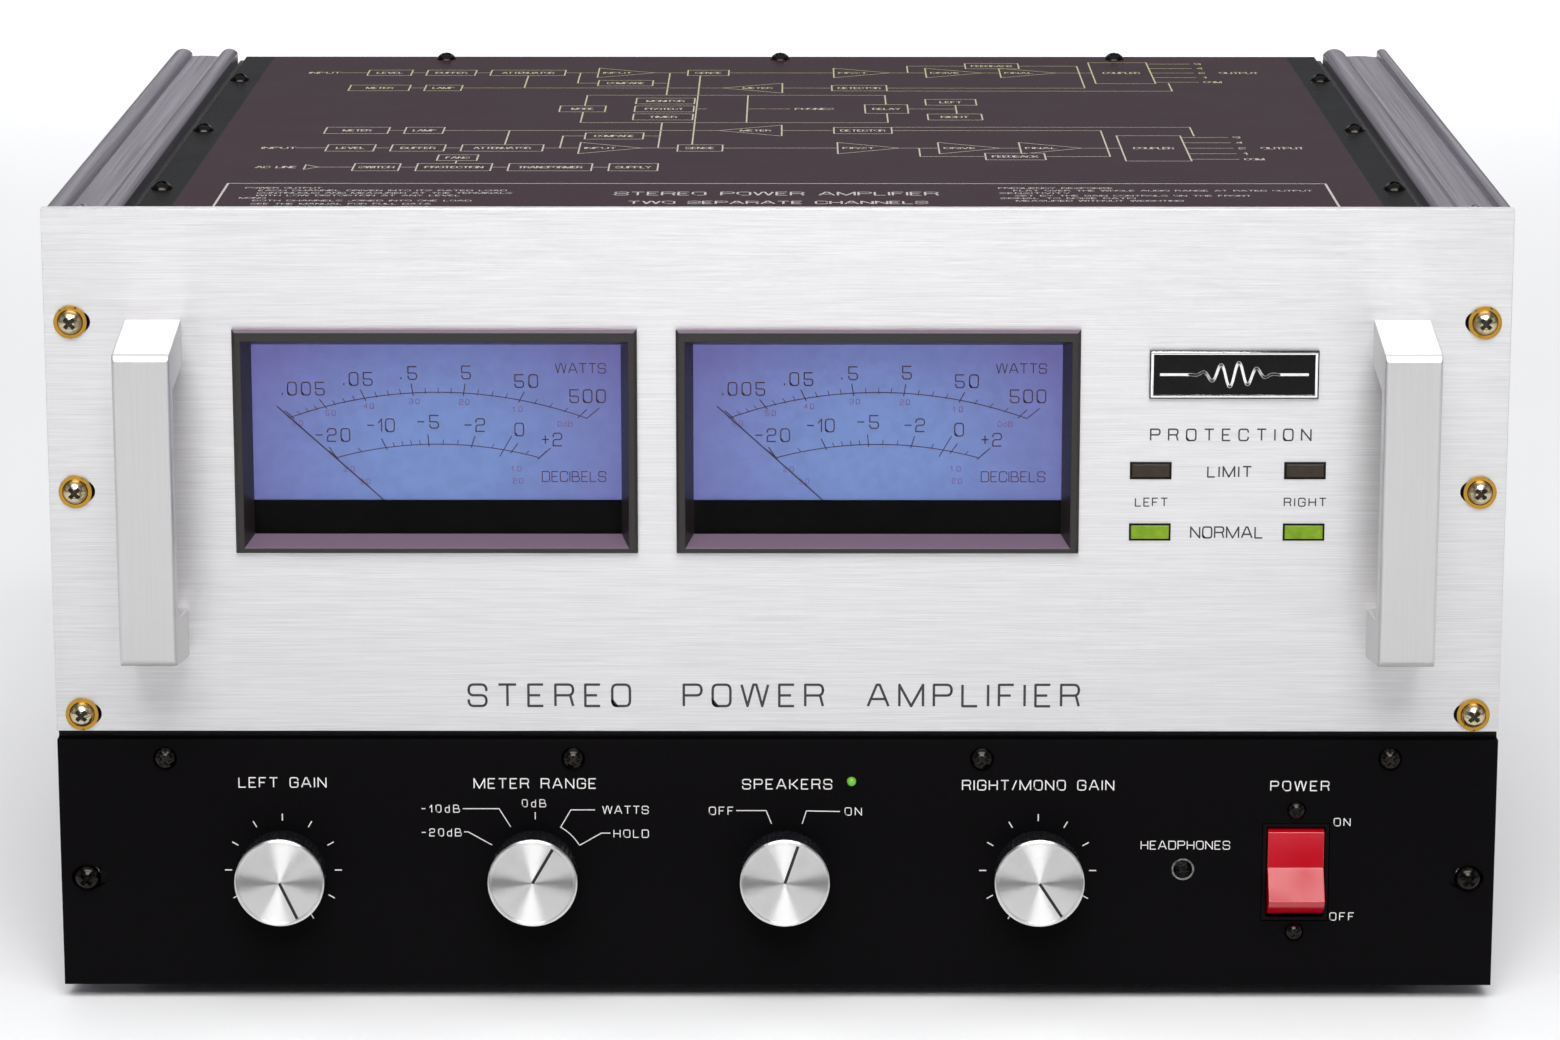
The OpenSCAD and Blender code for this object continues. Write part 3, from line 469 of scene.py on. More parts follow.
diagram = channel(-1) + channel(1)
for y, label in ((270, "MONITOR"), (250, "PROTECT"), (230, "TIMER")):
    diagram += box_round(-54, -32, y, label)
diagram += box_round(-82, -65, 250, "MODE") + box_round(32, 48, 250, "RELAY", 22)
diagram += box_round(55, 74, 267, "LEFT") + box_round(55, 75, 230, "RIGHT")
diagram += [[(-73, 242), (-73, 216)], [(-73, 258), (-73, 285)]]
diagram += [[(-31, 163), (-31, 338)], [(-31, 250), (-27, 250)]]
diagram += [[(40, 239), (40, 216)], [(40, 261), (40, 285)], [(48, 250), (66, 250)], [(66, 238), (66, 259)]]
diagram += [[(-12, 216), (-12, 285)], [(-12, 250), (4, 250)]] + spell("PHONES", 6, 20, 250, 4)
supply = [(-148, -132, "SWITCH"), (-126, -100, "PROTECTION"), (-94, -65, "TRANSFORMER"),
          (-59, -42, "SUPPLY")]
for left, right, label in supply:
    diagram += box_round(left, right, 113, label, 16)
diagram += [[(a[1], 113), (b[0], 113)] for a, b in zip(supply, supply[1:])] + [[(-160, 113), (-148, 113)]]
diagram += box_round(-120, -106, 134, "FANS", 13) + [[(-113, 127), (-113, 121)]]
diagram += spell("AC LINE", -182, -168, 113, 4) + [[(-165, 108), (-165, 118), (-160, 113), (-165, 108)]]

frame_line = [[(-188, 8), (-188, 78), (187, 78), (187, 8)]]
heading = spell("STEREO POWER AMPLIFIER", -55, 54, 57, 6.6) + spell("TWO SEPARATE CHANNELS", -50, 50, 39, 5.4)
columns = (
    (-181, ("POWER OUTPUT", "EACH CHANNEL DRIVEN INTO ITS RATED LOAD",
            "CONTINUOUS AND MEASURED AT THE TERMINALS", "WITH LOW DISTORTION AT ANY LEVEL", "MONO",
            "BOTH CHANNELS JOINED INTO ONE LOAD")),
    (75, ("FREQUENCY RESPONSE", "FLAT OVER THE WHOLE AUDIO RANGE AT RATED OUTPUT", "SENSITIVITY",
          "SET BY THE GAIN CONTROLS ON THE FRONT", "SIGNAL TO NOISE RATIO",
          "MEASURED WITHOUT WEIGHTING")),
)
SHORT_HEADING = 22
LETTER_PITCH = 2.15
small_print = []
for left, lines in columns:
    for row, line in enumerate(lines):
        start = left + (0 if len(line) < SHORT_HEADING and line != lines[-1] else 5)
        small_print += spell(line, start, start + LETTER_PITCH * len(line), 68.5 - row * 5.2, 2.5)
for row in range(2):
    small_print += spell("SEE THE MANUAL FOR FULL DATA", -176, -116, 36 - row * 6, 2.5)

pale_ink = finish("pale_yellow_ink", (0.6, 0.56, 0.42), roughness=0.5)
along = add(pale_ink, "SeparateXYZ", {"Vector": placed(pale_ink)}).outputs["Y"]
fade = add(pale_ink, "MapRange", {"Value": along, "From Min": -0.12, "From Max": 0.2}).outputs["Result"]
tint(pale_ink, fade, (0.50, 0.46, 0.44), (0.50, 0.46, 0.22))
printed("cover_print", [(diagram, 0.55), (frame_line, 0.8), (heading, 0.75), (small_print, 0.38)],
        Matrix.Translation(at(0, 0, COVER_TOP + INK_LIFT)) @ Matrix.Scale(MM, 4), pale_ink)

# ---- Meters -------------------------------------------------------------------------------------
# Each meter is a dark moulded bezel pressed into the faceplate, a glass behind it, and a dial of
# blue translucent plastic lit from behind. A black shroud hides the needle's pivot.
METERS = {"left": -112.9, "right": 33.2}
DIAL_DEPTH = (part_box("meter_dial_left")[0][1] - FACE_Y) / MM
PIVOT_Z = 149.7
GLOW_Z, GLOW_HALF_WIDE, GLOW_HALF_TALL = 181, 72 * MM, 52 * MM

bezel_plastic = finish("bezel_plastic", (0.02, 0.015, 0.016), roughness=0.35)
moulding = speckle(bezel_plastic, 1400, detail=3)
feed(bezel_plastic, "Roughness", spread(bezel_plastic, moulding, 0.32, 0.48))
# Faces of the bezel that look up are painted a lighter violet: painted light from the dial's glow and the
# lamps above.
normal = add(bezel_plastic, "TexCoord", {}).outputs["Normal"]
facing = add(bezel_plastic, "SeparateXYZ", {"Vector": normal})
upward_painted_light = {"Value": facing.outputs["Z"], "From Min": 0.3, "From Max": 0.9}
tint(bezel_plastic, add(bezel_plastic, "MapRange", upward_painted_light).outputs["Result"], (0.016, 0.012, 0.012),
     (0.17, 0.115, 0.17))
relief(bezel_plastic, moulding, 0.00003)

window_glass = finish("window_glass", (1, 1, 1), roughness=0.02, Transmission_Weight=1.0, IOR=1.08)
smears = speckle(window_glass, 20, detail=4)
feed(window_glass, "Roughness", spread(window_glass, smears, 0.0, 0.04))

shroud = finish("shroud_plastic", (0.002, 0.002, 0.002), roughness=0.5, Specular_IOR_Level=0.0)
tint(shroud, speckle(shroud, 900), (0.001, 0.001, 0.001), (0.003, 0.003, 0.003))
relief(shroud, speckle(shroud, 1500), 0.00003)
dress(shroud, "meter_cases")

dial_ink = finish("dial_ink", (0.045, 0.012, 0.03), roughness=0.6)
tint(dial_ink, speckle(dial_ink, 900), (0.035, 0.010, 0.024), (0.06, 0.016, 0.04))
faint_ink = finish("faint_dial_ink", (0.16, 0.05, 0.16), roughness=0.6)
tint(faint_ink, speckle(faint_ink, 900), (0.13, 0.04, 0.13), (0.19, 0.06, 0.19))


def lit_dial(name, x):
    """Blue plastic lit from behind: palest low in the middle, turning violet to the sides and top."""
    glow = finish(name, (0.02, 0.03, 0.06), roughness=0.5, Emission_Strength=1.0)
    centre = at(x, 0, GLOW_Z)
    size = (1 / GLOW_HALF_WIDE, 0, 1 / GLOW_HALF_TALL)
    shift = (-centre.x * size[0], 0, -centre.z * size[2])
    ball = add(glow, "TexGradient", {"Vector": placed(glow, size, shift)}, gradient_type="SPHERICAL")
    ramp = add(glow, "ValToRGB", {"Fac": ball.outputs["Fac"]})
    ramp.color_ramp.elements[0].color = (0.115, 0.105, 0.32, 1)
    ramp.color_ramp.elements[1].color = (0.13, 0.205, 0.47, 1)
    ramp.color_ramp.elements[1].position = 0.75
    mottle = spread(glow, speckle(glow, 260, detail=3), 0.93, 1.07)
    shine = add(glow, "Mix", {"Factor": 1.0}, data_type="RGBA", blend_type="MULTIPLY")
    glow.node_tree.links.new(ramp.outputs["Color"], shine.inputs["A"])
    glow.node_tree.links.new(mottle, shine.inputs["B"])
    feed(glow, "Emission Color", shine.outputs["Result"])
    return glow


def toward_pivot(x, radius, centre_z, inner, outer):
    """A tick across an arc, on the line from the needle's pivot; the arc is found from above."""
    top = centre_z + math.sqrt(radius ** 2 - x ** 2)
    away = Vector((x, top - PIVOT_Z)).normalized()
    return [(x + away.x * s, top + away.y * s) for s in (inner, outer)]


def scale_line(half, radius, centre_z):
    """The arc of a scale between its two ends."""
    swing = math.degrees(math.asin(half / radius))
    return arc((0, centre_z), radius, -swing, swing, 40)


UPPER = (144.0, 58.7)
LOWER = (126.0, 59.1)
watt_marks = (-48.3, -37.2, -24.1, -8.1, 8.8, 27.4, 47.3)
decibel_marks = (-33.7, -17.2, -3.0, 11.3, 24.6, 33.7)


def subdivided(marks, parts):
    """Evenly spaced places between each pair of marks, in as many parts as each pair is given."""
    return [a + (b - a) * i / n for a, b, n in zip(marks, marks[1:], parts) for i in range(1, n)]


scale_arcs = [scale_line(49.6, *UPPER), scale_line(33.7, *LOWER)]
long_ticks = [toward_pivot(x, *UPPER, -1.0, 3.2) for x in watt_marks]
long_ticks += [toward_pivot(x, *LOWER, -0.8, 3.4) for x in decibel_marks]
short_ticks = [toward_pivot(x, *UPPER, -0.4, 1.6) for x in subdivided(watt_marks, (4,) * 6)]
short_ticks += [toward_pivot(x, *LOWER, -0.2, 1.6) for x in subdivided(decibel_marks, (2, 5, 3, 2, 2))]
end_marks = [[(49.6, 193.9), (53.8, 197.4)], [(33.7, 180.5), (37.6, 183.9)],
             [(-33.7, 180.5), (-36.2, 184.2)], [(20.5, 180.9), (24.6, 187.9)]]
watt_words = [(".005", -44.4, 203.9, 13.9), (".05", -26.2, 207.2, 9.4), (".5", -9.3, 209.2, 5.2),
              ("5", 9.7, 209.4, 3.4), ("50", 29.6, 206.5, 7.5), ("500", 49.9, 201.4, 11.7)]
decibel_words = [("-20", -34.9, 188.2, 11.3), ("-10", -18.9, 191.5, 9.0), ("-5", -3.2, 192.7, 7.0),
                 ("-2", 12.3, 191.6, 6.6), ("0", 27.1, 190.1, 3.2), ("+2", 37.9, 186.7, 6.6)]
numerals = [s for text, x, z, wide in watt_words + decibel_words
            for s in spell(text, x - wide / 2, x + wide / 2, z, 4.3)]
units = spell("WATTS", 39.3, 55.9, 210.8, 3.2) + spell("DECIBELS", 34.6, 55.8, 174.1, 3.4)
small_words = [("60", -46.4, 192.2), ("50", -35.5, 195.6), ("40", -22.8, 198.0), ("30", -7.6, 199.6),
               ("20", 9.0, 199.4), ("10", 26.6, 197.0), ("0dB", 42.4, 192.0),
               ("20", -29.5, 176.6), ("30", -24.4, 172.4), ("10", 26.0, 176.8), ("20", 26.5, 172.6)]
small_numerals = [s for text, x, z in small_words
                  for s in spell(text, x - len(text) * 0.8, x + len(text) * 0.8, z, 1.7)]

for side, x in METERS.items():
    eased("meter_bezel_" + side, 0.25, bezel_plastic, segments=2, sharp=20)
    dress(window_glass, "meter_glass_" + side)
    dress(lit_dial("lit_dial_" + side, x), "meter_dial_" + side)
    printed("dial_print_" + side,
            [(scale_arcs, 0.32), (long_ticks, 0.34), (short_ticks, 0.24), (end_marks, 0.32),
             (numerals, 0.42), (units, 0.32)],
            on_front(DIAL_DEPTH - INK_LIFT, x), dial_ink)
    printed("dial_small_print_" + side, [(small_numerals, 0.2)],
            on_front(DIAL_DEPTH - INK_LIFT, x), faint_ink)
needle_paint = finish("needle_paint", (0.03, 0.008, 0.02), roughness=0.45)
tint(needle_paint, speckle(needle_paint, 600), (0.024, 0.006, 0.016), (0.04, 0.012, 0.028))
dress(needle_paint, "needle_left", "needle_right")

# ---- Knobs --------------------------------------------------------------------------------------
# Four black fluted knobs, each with a spun aluminium cap let into its face. The tool leaves fine
# rings on the cap, a bright rim round it, and a black pointer is cut from the centre outwards.
KNOBS = {"left_gain": 155.0, "meter_range": 30.0, "speakers": 18.7, "right_gain": 147.0}
POINTER_R = 13.6
POINTER_SUNK = 0.19
knob_plastic = finish("knob_plastic", (0.008, 0.008, 0.009), roughness=0.22)
feed(knob_plastic, "Roughness", spread(knob_plastic, speckle(knob_plastic, 300, detail=4), 0.16, 0.32))
tint(knob_plastic, speckle(knob_plastic, 60), (0.006, 0.006, 0.007), (0.012, 0.011, 0.013))


def spun(name, x):
    """Aluminium turned about a knob's axis: fine rings, and light drawn out across them."""
    turned = finish(name, (0.8, 0.79, 0.78), metallic=1.0, roughness=0.3, Anisotropic=1.0,
                    Anisotropic_Rotation=0.25)
    axis = at(x, 0, KNOB_Z)
    spot = placed(turned, (1, 0, 1), (-axis.x, 0, -axis.z))
    radius = add(turned, "VectorMath", {0: spot}, operation="LENGTH").outputs["Value"]
    rings = add(turned, "TexNoise", {"W": radius, "Scale": 6500, "Detail": 3}, noise_dimensions="1D")
    tint(turned, rings.outputs["Fac"], (0.82, 0.81, 0.80), (0.96, 0.95, 0.94))
    relief(turned, rings.outputs["Fac"], 0.00002)
    around = add(turned, "VectorMath", {0: spot, 1: (0, 1, 0)}, operation="CROSS_PRODUCT")
    around = add(turned, "VectorTransform", {"Vector": around.outputs["Vector"]}, vector_type="VECTOR",
                 convert_from="OBJECT", convert_to="WORLD")
    feed(turned, "Tangent", around.outputs["Vector"])
    return turned


pointer_black = finish("pointer_black", (0.006, 0.006, 0.006), roughness=0.5)
tint(pointer_black, speckle(pointer_black, 900), (0.004, 0.004, 0.004), (0.012, 0.012, 0.012))
for (name, turn), x in zip(KNOBS.items(), KNOB_XS):
    eased("knob_" + name, 0.12, knob_plastic)
    eased("cap_" + name, 0.06, spun("spun_" + name, x), shortest=0.02)
    cap_front = (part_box("cap_" + name)[0][1] - FACE_Y) / MM
    pointer = [[arc((0, 0), r, turn, turn, 1)[0] for r in (0.0, POINTER_R)]]
    printed("pointer_" + name, [(pointer, 1.0)], on_front(cap_front + POINTER_SUNK, x, KNOB_Z),
            pointer_black, name + "_knob")

# ---- Power switch -------------------------------------------------------------------------------
# A moulded red rocker that tips about a pin across its middle, in a black body that clips in from
# behind. It is pressed in at the top, so its lower half stands out over the panel.
rocker_red = finish("rocker_red", (0.46, 0.001, 0.010), roughness=0.14, Specular_IOR_Level=0.8)
feed(rocker_red, "Roughness", spread(rocker_red, speckle(rocker_red, 60, detail=4), 0.1, 0.18))
tint(rocker_red, speckle(rocker_red, 30), (0.42, 0.001, 0.008), (0.5, 0.001, 0.014))
eased("power_rocker", 0.3, rocker_red, segments=3, sharp=18)
switch_plastic = finish("switch_plastic", (0.003, 0.003, 0.003), roughness=0.35, Specular_IOR_Level=0.05)
feed(switch_plastic, "Roughness", spread(switch_plastic, speckle(switch_plastic, 700), 0.3, 0.45))
tint(switch_plastic, speckle(switch_plastic, 50), (0.002, 0.002, 0.002), (0.005, 0.005, 0.005))
dress(switch_plastic, "mode_slider")
eased("power_switch_body", 0.15, switch_plastic)

# ---- Lamps and badge ----------------------------------------------------------------------------
# Four small lenses sit in thin black frames in the faceplate: dark amber ones above, which are
# out, and green ones below, which are lit. The badge is a black plate in a polished rim, and
# carries a plain wave.
limit_lens = finish("limit_lens", (0.02, 0.011, 0.005), roughness=0.08, Specular_IOR_Level=0.3)
tint(limit_lens, speckle(limit_lens, 240), (0.012, 0.007, 0.003), (0.035, 0.02, 0.008))
eased("limit_lenses", 0.45, limit_lens, segments=3)
normal_lens = finish("normal_lens", (0.08, 0.16, 0.003), roughness=0.08, Emission_Strength=0.45,
                     Specular_IOR_Level=0.25)
glow_spots = speckle(normal_lens, 380)
tint(normal_lens, glow_spots, (0.06, 0.13, 0.003), (0.12, 0.22, 0.008))
warm = add(normal_lens, "Mix", {"Factor": spread(normal_lens, glow_spots, 0, 1)}, data_type="RGBA")
warm.inputs["A"].default_value = (0.14, 0.26, 0.001, 1)
warm.inputs["B"].default_value = (0.26, 0.36, 0.003, 1)
feed(normal_lens, "Emission Color", warm.outputs["Result"])
eased("normal_lenses", 0.45, normal_lens, segments=3)
led_green = finish("led_green", (0.08, 0.3, 0.02), roughness=0.2, Emission_Strength=0.3,
                   Emission_Color=(0.25, 0.8, 0.06, 1))
tint(led_green, speckle(led_green, 900), (0.05, 0.2, 0.01), (0.12, 0.36, 0.03))
dress(led_green, "speaker_led")

badge_black = finish("badge_black", (0.004, 0.004, 0.004), roughness=0.25, Specular_IOR_Level=0.12)
feed(badge_black, "Roughness", spread(badge_black, speckle(badge_black, 200), 0.2, 0.35))
tint(badge_black, speckle(badge_black, 90), (0.003, 0.003, 0.003), (0.007, 0.006, 0.006))
dress(badge_black, "name_badge")
polished = finish("polished_rim", (0.86, 0.85, 0.85), metallic=1.0, roughness=0.14)
feed(polished, "Roughness", spread(polished, speckle(polished, 900), 0.1, 0.22))
tint(polished, speckle(polished, 60), (0.8, 0.79, 0.79), (0.9, 0.89, 0.89))
low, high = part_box("name_badge")
badge_x = ((low[0] + high[0]) / 2) / MM
badge_z = ((low[2] + high[2]) / 2 - BOTTOM_Z) / MM
half_w = (high[0] - low[0]) / 2 / MM
half_h = (high[2] - low[2]) / 2 / MM


def ring(name, size, band, rise, lay, material, places=((0, 0),)):
    """Raised rectangular frames: outer size, width of the band and height, about each given place."""
    rim = bmesh.new()
    for place in places:
        grown = bmesh.ops.create_grid(rim, x_segments=1, y_segments=1, size=0.5)["verts"]
        bmesh.ops.scale(rim, vec=(*size, 1), verts=grown)
        bmesh.ops.translate(rim, vec=(*place, 0), verts=grown)
    bands = bmesh.ops.inset_region(rim, faces=rim.faces, thickness=band, depth=0, use_boundary=True,
                                   use_even_offset=True)["faces"]
    bmesh.ops.delete(rim, geom=[f for f in rim.faces if f not in bands], context="FACES")
    walls = bmesh.ops.extrude_face_region(rim, geom=list(rim.faces))
    raised = [v for v in walls["geom"] if isinstance(v, bmesh.types.BMVert)]
    bmesh.ops.translate(rim, vec=(0, 0, rise), verts=raised)
    top = [e for e in rim.edges if all(v in raised for v in e.verts)]
    bmesh.ops.bevel(rim, geom=top, offset=band / 5, offset_type="OFFSET", segments=2, profile=0.5,
                    affect="EDGES", material=-1)
    bmesh.ops.transform(rim, matrix=lay, verts=rim.verts)
    bmesh.ops.recalc_face_normals(rim, faces=rim.faces)
    return keep(name, mesh_of(rim, name), material)


RIM_INSET = 0.3
RIM_FOOT = -1.04
ring("badge_rim", (2 * (half_w - RIM_INSET), 2 * (half_h - RIM_INSET)), 1.0, 0.66,
     on_front(RIM_FOOT, badge_x, badge_z), polished)
LENS_XS = (123.5, 174.5)
lens_rows = [(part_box(node)[0][2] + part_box(node)[1][2]) / 2 for node in ("limit_lenses", "normal_lenses")]
seats = [(x, (z - BOTTOM_Z) / MM) for x in LENS_XS for z in lens_rows]
ring("lens_seats", (13.8, 5.8), 0.65, 0.5, on_front(0), badge_black, seats)
WAVE_HALF, WAVE_TALL, LINE_HALF = 60, 4.2, 24.5
wave = [(x / 4, WAVE_TALL * math.sin(x / 3.8) * math.cos(math.pi * x / (2 * WAVE_HALF)) ** 2)
        for x in range(-WAVE_HALF, WAVE_HALF + 1)]
badge_strokes = [[(-LINE_HALF, 0)] + wave + [(LINE_HALF, 0)]]
WAVE_FOOT = -1.12
printed("badge_wave", [(badge_strokes, 0.9)], on_front(WAVE_FOOT, badge_x, badge_z), white_ink)

# ---- Screws -------------------------------------------------------------------------------------
# The rack screws are yellow zinc with a pressed washer under a domed cross head: gold at the
# washer, paler and more silver towards the crown, and painted dark in the cross as shade. The
# panel and cover screws are black, and those in the rails and behind the handles are plain zinc.
yellow_zinc = finish("yellow_zinc", (0.72, 0.5, 0.16), metallic=1.0, roughness=0.18)
iridescence = speckle(yellow_zinc, 420, detail=2)
depth = add(yellow_zinc, "SeparateXYZ", {"Vector": placed(yellow_zinc)}).outputs["Y"]
# The colour goes from gold at the washer to a paler silver towards the crown, by height alone.
crown = {"Value": depth, "From Min": at(0, -1.3, 0).y, "From Max": at(0, -3.4, 0).y}
crown_height = add(yellow_zinc, "MapRange", crown).outputs["Result"]
tint(yellow_zinc, crown_height, (0.42, 0.24, 0.035), (0.6, 0.53, 0.38))
feed(yellow_zinc, "Roughness", spread(yellow_zinc, iridescence, 0.12, 0.26))
black_oxide = finish("black_oxide", (0.02, 0.018, 0.017), metallic=1.0, roughness=0.14)
feed(black_oxide, "Roughness", spread(black_oxide, speckle(black_oxide, 900), 0.08, 0.2))
tint(black_oxide, speckle(black_oxide, 300), (0.012, 0.011, 0.010), (0.032, 0.029, 0.027))
zinc = finish("clear_zinc", (0.55, 0.55, 0.56), metallic=1.0, roughness=0.35)
feed(zinc, "Roughness", spread(zinc, speckle(zinc, 400), 0.28, 0.46))
tint(zinc, speckle(zinc, 120), (0.46, 0.46, 0.48), (0.64, 0.64, 0.65))
# The walls and floor of each cross recess are painted near-black: painted shade in the recess.
recess_shade = finish("recess_shade", (0.03, 0.026, 0.012), roughness=0.6)
tint(recess_shade, speckle(recess_shade, 900), (0.02, 0.017, 0.008), (0.06, 0.05, 0.022))


def picked(piece, material, centres, reach, test):
    """Gives a second material to a piece's faces that lie near one of its axes and pass a test."""
    piece.data.materials.append(material)
    for face in piece.data.polygons:
        spot = Vector((face.center.x / MM, (face.center.z - BOTTOM_Z) / MM))
        if min((spot - centre).length for centre in centres) < reach and test(face):
            face.material_index = 1


EAR_X = 232.55
EAR_ZS = (94.85, 171.05, 228.2)
CROSS_R = 2.35
ear_axes = [Vector((side * EAR_X, z)) for side in (-1, 1) for z in EAR_ZS]
recess_floor = at(0, -2.6, 0).y


def in_cross(face):
    """The walls and floor of a cross recess, and not the dome round it."""
    return abs(face.normal.y) < 0.3 or (face.normal.y < -0.99 and face.center.y > recess_floor)


picked(eased("rack_screws", 0.08, yellow_zinc), recess_shade, ear_axes, CROSS_R, in_cross)
dress(black_oxide, "control_panel_screws", "top_cover_screws")
dress(zinc, "rail_screws", "handle_screws", "mode_switch_body", "fan_guards")
dark_nickel = finish("dark_nickel", (0.4, 0.39, 0.38), metallic=1.0, roughness=0.15)
feed(dark_nickel, "Roughness", spread(dark_nickel, speckle(dark_nickel, 600), 0.14, 0.3))
tint(dark_nickel, speckle(dark_nickel, 200), (0.3, 0.295, 0.29), (0.5, 0.49, 0.48))
dress(dark_nickel, "headphone_jack")

# ---- Rear fittings and feet ---------------------------------------------------------------------
# Moulded terminal strips with plated screws, gold phono sockets, a nylon cord gland, plastic fans
# behind wire guards, and four rubber feet.
moulded_black = finish("moulded_black", (0.012, 0.012, 0.012), roughness=0.45)
feed(moulded_black, "Roughness", spread(moulded_black, speckle(moulded_black, 800), 0.38, 0.56))
tint(moulded_black, speckle(moulded_black, 40), (0.009, 0.009, 0.009), (0.018, 0.018, 0.018))
relief(moulded_black, speckle(moulded_black, 1500), 0.00003)
dress(moulded_black, "fan_frames", "fan_rotor_left", "fan_rotor_right", "cord_gland")
STRIP_X, STRIP_Z = 105, 95
TERMINAL_PITCH = 16
TERMINAL_SCREW_R = 4.2
terminal_axes = [Vector((side * STRIP_X + (way - 2.5) * TERMINAL_PITCH, STRIP_Z))
                 for side in (-1, 1) for way in range(6)]
strip_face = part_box("speaker_terminals")[1][1] - 6.9 * MM
picked(eased("speaker_terminals", 0.3, moulded_black, shortest=4), zinc, terminal_axes,
       TERMINAL_SCREW_R, lambda face: face.center.y > strip_face)
gold = finish("gold_plate", (0.85, 0.6, 0.2), metallic=1.0, roughness=0.2)
feed(gold, "Roughness", spread(gold, speckle(gold, 500), 0.15, 0.3))
tint(gold, speckle(gold, 200), (0.78, 0.53, 0.16), (0.9, 0.66, 0.26))
dress(gold, "input_jacks")
rubber = finish("foot_rubber", (0.012, 0.012, 0.012), roughness=0.8)
tint(rubber, speckle(rubber, 500), (0.01, 0.01, 0.01), (0.02, 0.02, 0.02))
relief(rubber, speckle(rubber, 1200), 0.00005)
dress(rubber, "rubber_feet")

# ---- Inside -------------------------------------------------------------------------------------
# Laminated transformers, sleeved capacitors, black heatsinks with their transistors, and green
# driver boards. They can only be seen through the fans and the slots in the base.
INSIDE = {
    "varnished_core": ((0.05, 0.03, 0.018), 0.0, 0.4, ("power_transformer", "autoformers")),
    "capacitor_sleeve": ((0.02, 0.05, 0.2), 0.0, 0.3, ("filter_capacitors",)),
    "heatsink_black": ((0.015, 0.015, 0.017), 0.5, 0.45, ("heatsinks",)),
    "nickel_can": ((0.5, 0.49, 0.48), 1.0, 0.3, ("output_transistors",)),
    "board_green": ((0.01, 0.07, 0.025), 0.0, 0.35, ("driver_boards",)),
    "plain_steel": ((0.35, 0.35, 0.36), 1.0, 0.4, ("meter_movements", "gain_pots")),
    "phenolic": ((0.13, 0.06, 0.02), 0.0, 0.5, ("rotary_switches",)),
}
for name, (colour, metallic, roughness, nodes) in INSIDE.items():
    material = finish(name, colour, metallic, roughness)
    patches = speckle(material, 250, detail=3)
    tint(material, patches, [c * 0.7 for c in colour], [c * 1.25 for c in colour])
    feed(material, "Roughness", spread(material, patches, roughness - 0.08, roughness + 0.12))
    dress(material, *nodes)

# ---- Studio -------------------------------------------------------------------------------------
# A plain pale floor that runs back out of sight, and a camera a little above the amplifier that
# looks down at its front. Soft lamps hang above, in front and at the sides, one more lights the
# background, and a narrow strip draws the bright line on the knobs and the rocker.
floor_paint = finish("floor_paint", (0.9, 0.9, 0.9), roughness=0.7)
tint(floor_paint, speckle(floor_paint, 2), (0.89, 0.89, 0.89), (0.91, 0.91, 0.91))
ground = bmesh.new()
bmesh.ops.create_grid(ground, x_segments=1, y_segments=1, size=12)
floor_mesh = mesh_of(ground, "floor")
floor_mesh.materials.append(floor_paint)
floor = bpy.data.objects.new("floor", floor_mesh)
bpy.context.scene.collection.objects.link(floor)

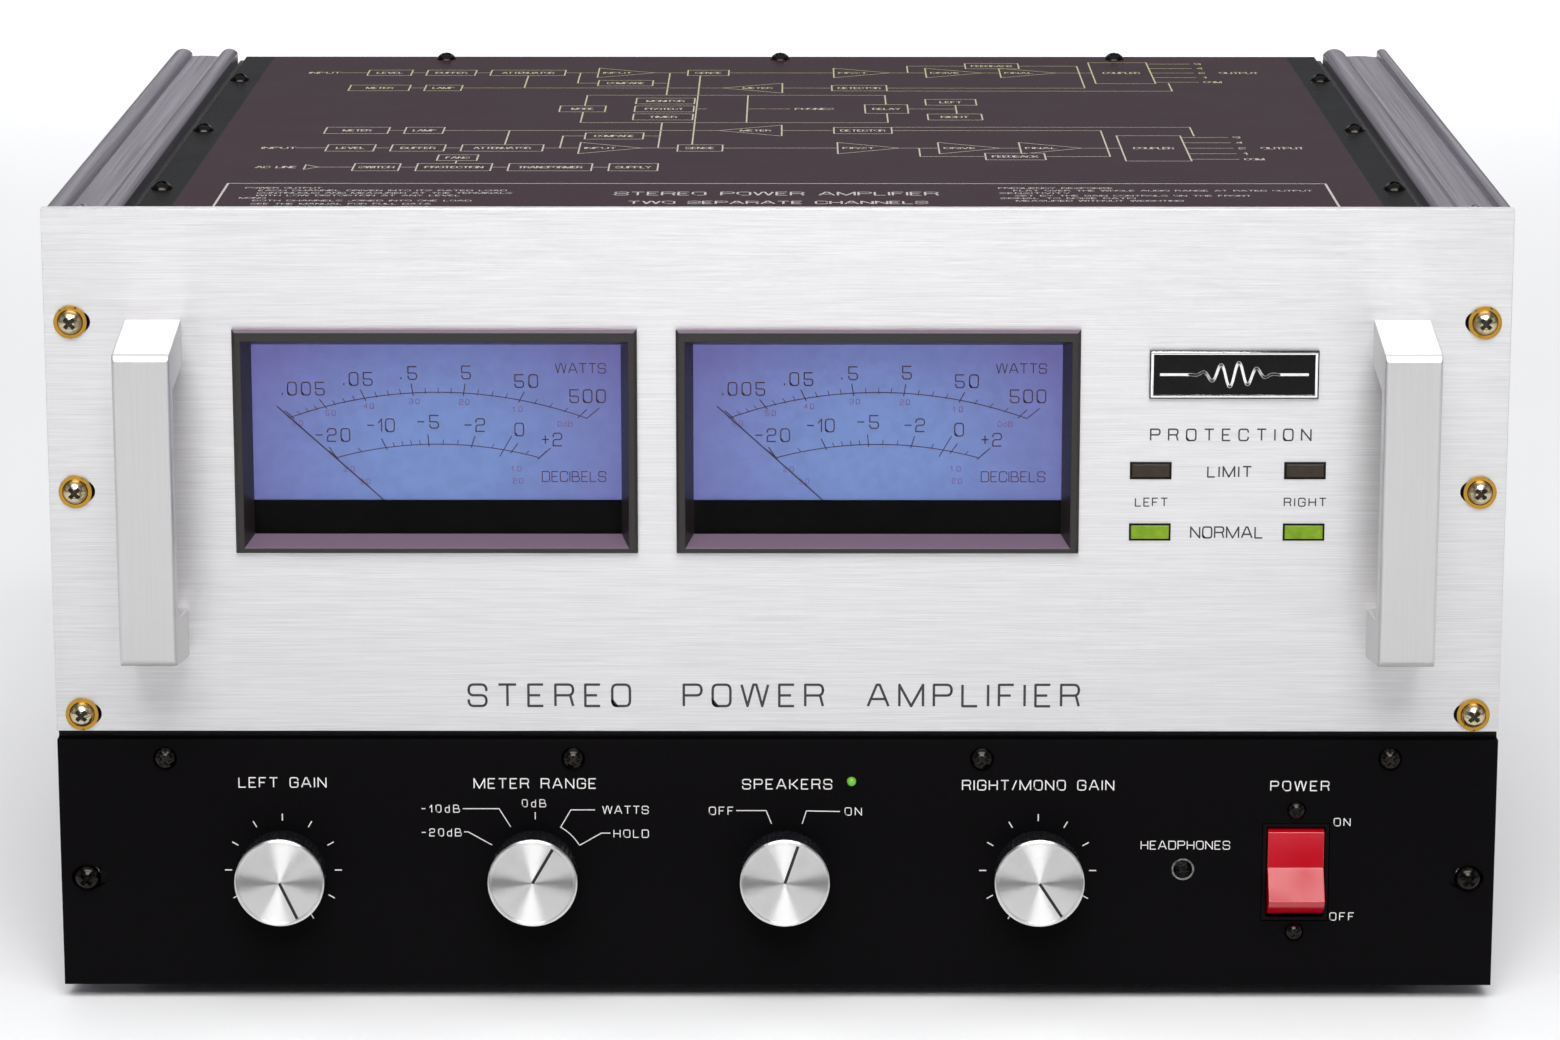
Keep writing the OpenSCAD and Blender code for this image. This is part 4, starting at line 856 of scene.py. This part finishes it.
# A black card lies in front of the feet. The camera doesn't see it, and only shiny pieces show it.
CARD_WIDE, CARD_DEEP = 0.9, 0.09
CARD_AHEAD = 0.172
card_black = finish("card_black", (0.01, 0.01, 0.01), roughness=1.0, Specular_IOR_Level=0.0)
sheet = bmesh.new()
bmesh.ops.create_grid(sheet, x_segments=1, y_segments=1, size=0.5)
bmesh.ops.scale(sheet, vec=(CARD_WIDE, CARD_DEEP, 1), verts=sheet.verts)
bmesh.ops.translate(sheet, vec=(0, FACE_Y - CARD_AHEAD, 0.0005), verts=sheet.verts)
card_mesh = mesh_of(sheet, "black_card")
card_mesh.materials.append(card_black)
card = bpy.data.objects.new("black_card", card_mesh)
bpy.context.scene.collection.objects.link(card)
card.visible_camera = card.visible_diffuse = card.visible_shadow = card.visible_transmission = False

world = bpy.data.worlds.new("studio")
bpy.context.scene.world = world
world.use_nodes = True
sky = world.node_tree.nodes["Background"]
sky.inputs["Color"].default_value = (0.9, 0.92, 1.0, 1)
sky.inputs["Strength"].default_value = 0.2


def softbox(name, place, target, size, power):
    """A rectangular diffused lamp that points at a target."""
    lamp = bpy.data.lights.new(name, "AREA")
    lamp.shape = "RECTANGLE"
    lamp.size, lamp.size_y = size
    lamp.energy = power
    holder = bpy.data.objects.new(name, lamp)
    holder.location = place
    holder.rotation_euler = (Vector(target) - Vector(place)).to_track_quat("-Z", "Y").to_euler()
    bpy.context.scene.collection.objects.link(holder)


softbox("overhead", (0, -0.3, 2.4), (0, -0.3, 0), (3.4, 3.0), 19)
softbox("front", (0, -2.3, 2.0), (0, 0, 0.1), (1.6, 1.0), 45)
softbox("left_side", (-2.4, -0.6, 0.9), (0, 0, 0.1), (1.2, 1.2), 1.5)
softbox("right_side", (2.4, -0.6, 0.9), (0, 0, 0.1), (1.2, 1.2), 2)
softbox("strip", (0, -1.3, 2.1), (0, -0.15, 0.05), (2.2, 0.45), 25)
softbox("background", (0, 3.5, 2.5), (0, 4.5, 0), (4.0, 2.0), 150)

VIEW_DISTANCE = 1700
VIEW_HEIGHT = 553
LOOK_DOWN = math.radians(12.97)
lens = bpy.data.cameras.new("camera")
lens.sensor_width = 36
lens.lens = 121.4
lens.clip_end = 50
camera = bpy.data.objects.new("camera", lens)
camera.location = at(5, -VIEW_DISTANCE, VIEW_HEIGHT)
camera.rotation_euler = (math.pi / 2 - LOOK_DOWN, 0, math.radians(0.14))
bpy.context.scene.collection.objects.link(camera)
bpy.context.scene.camera = camera
bpy.context.scene.view_settings.view_transform = "Standard"
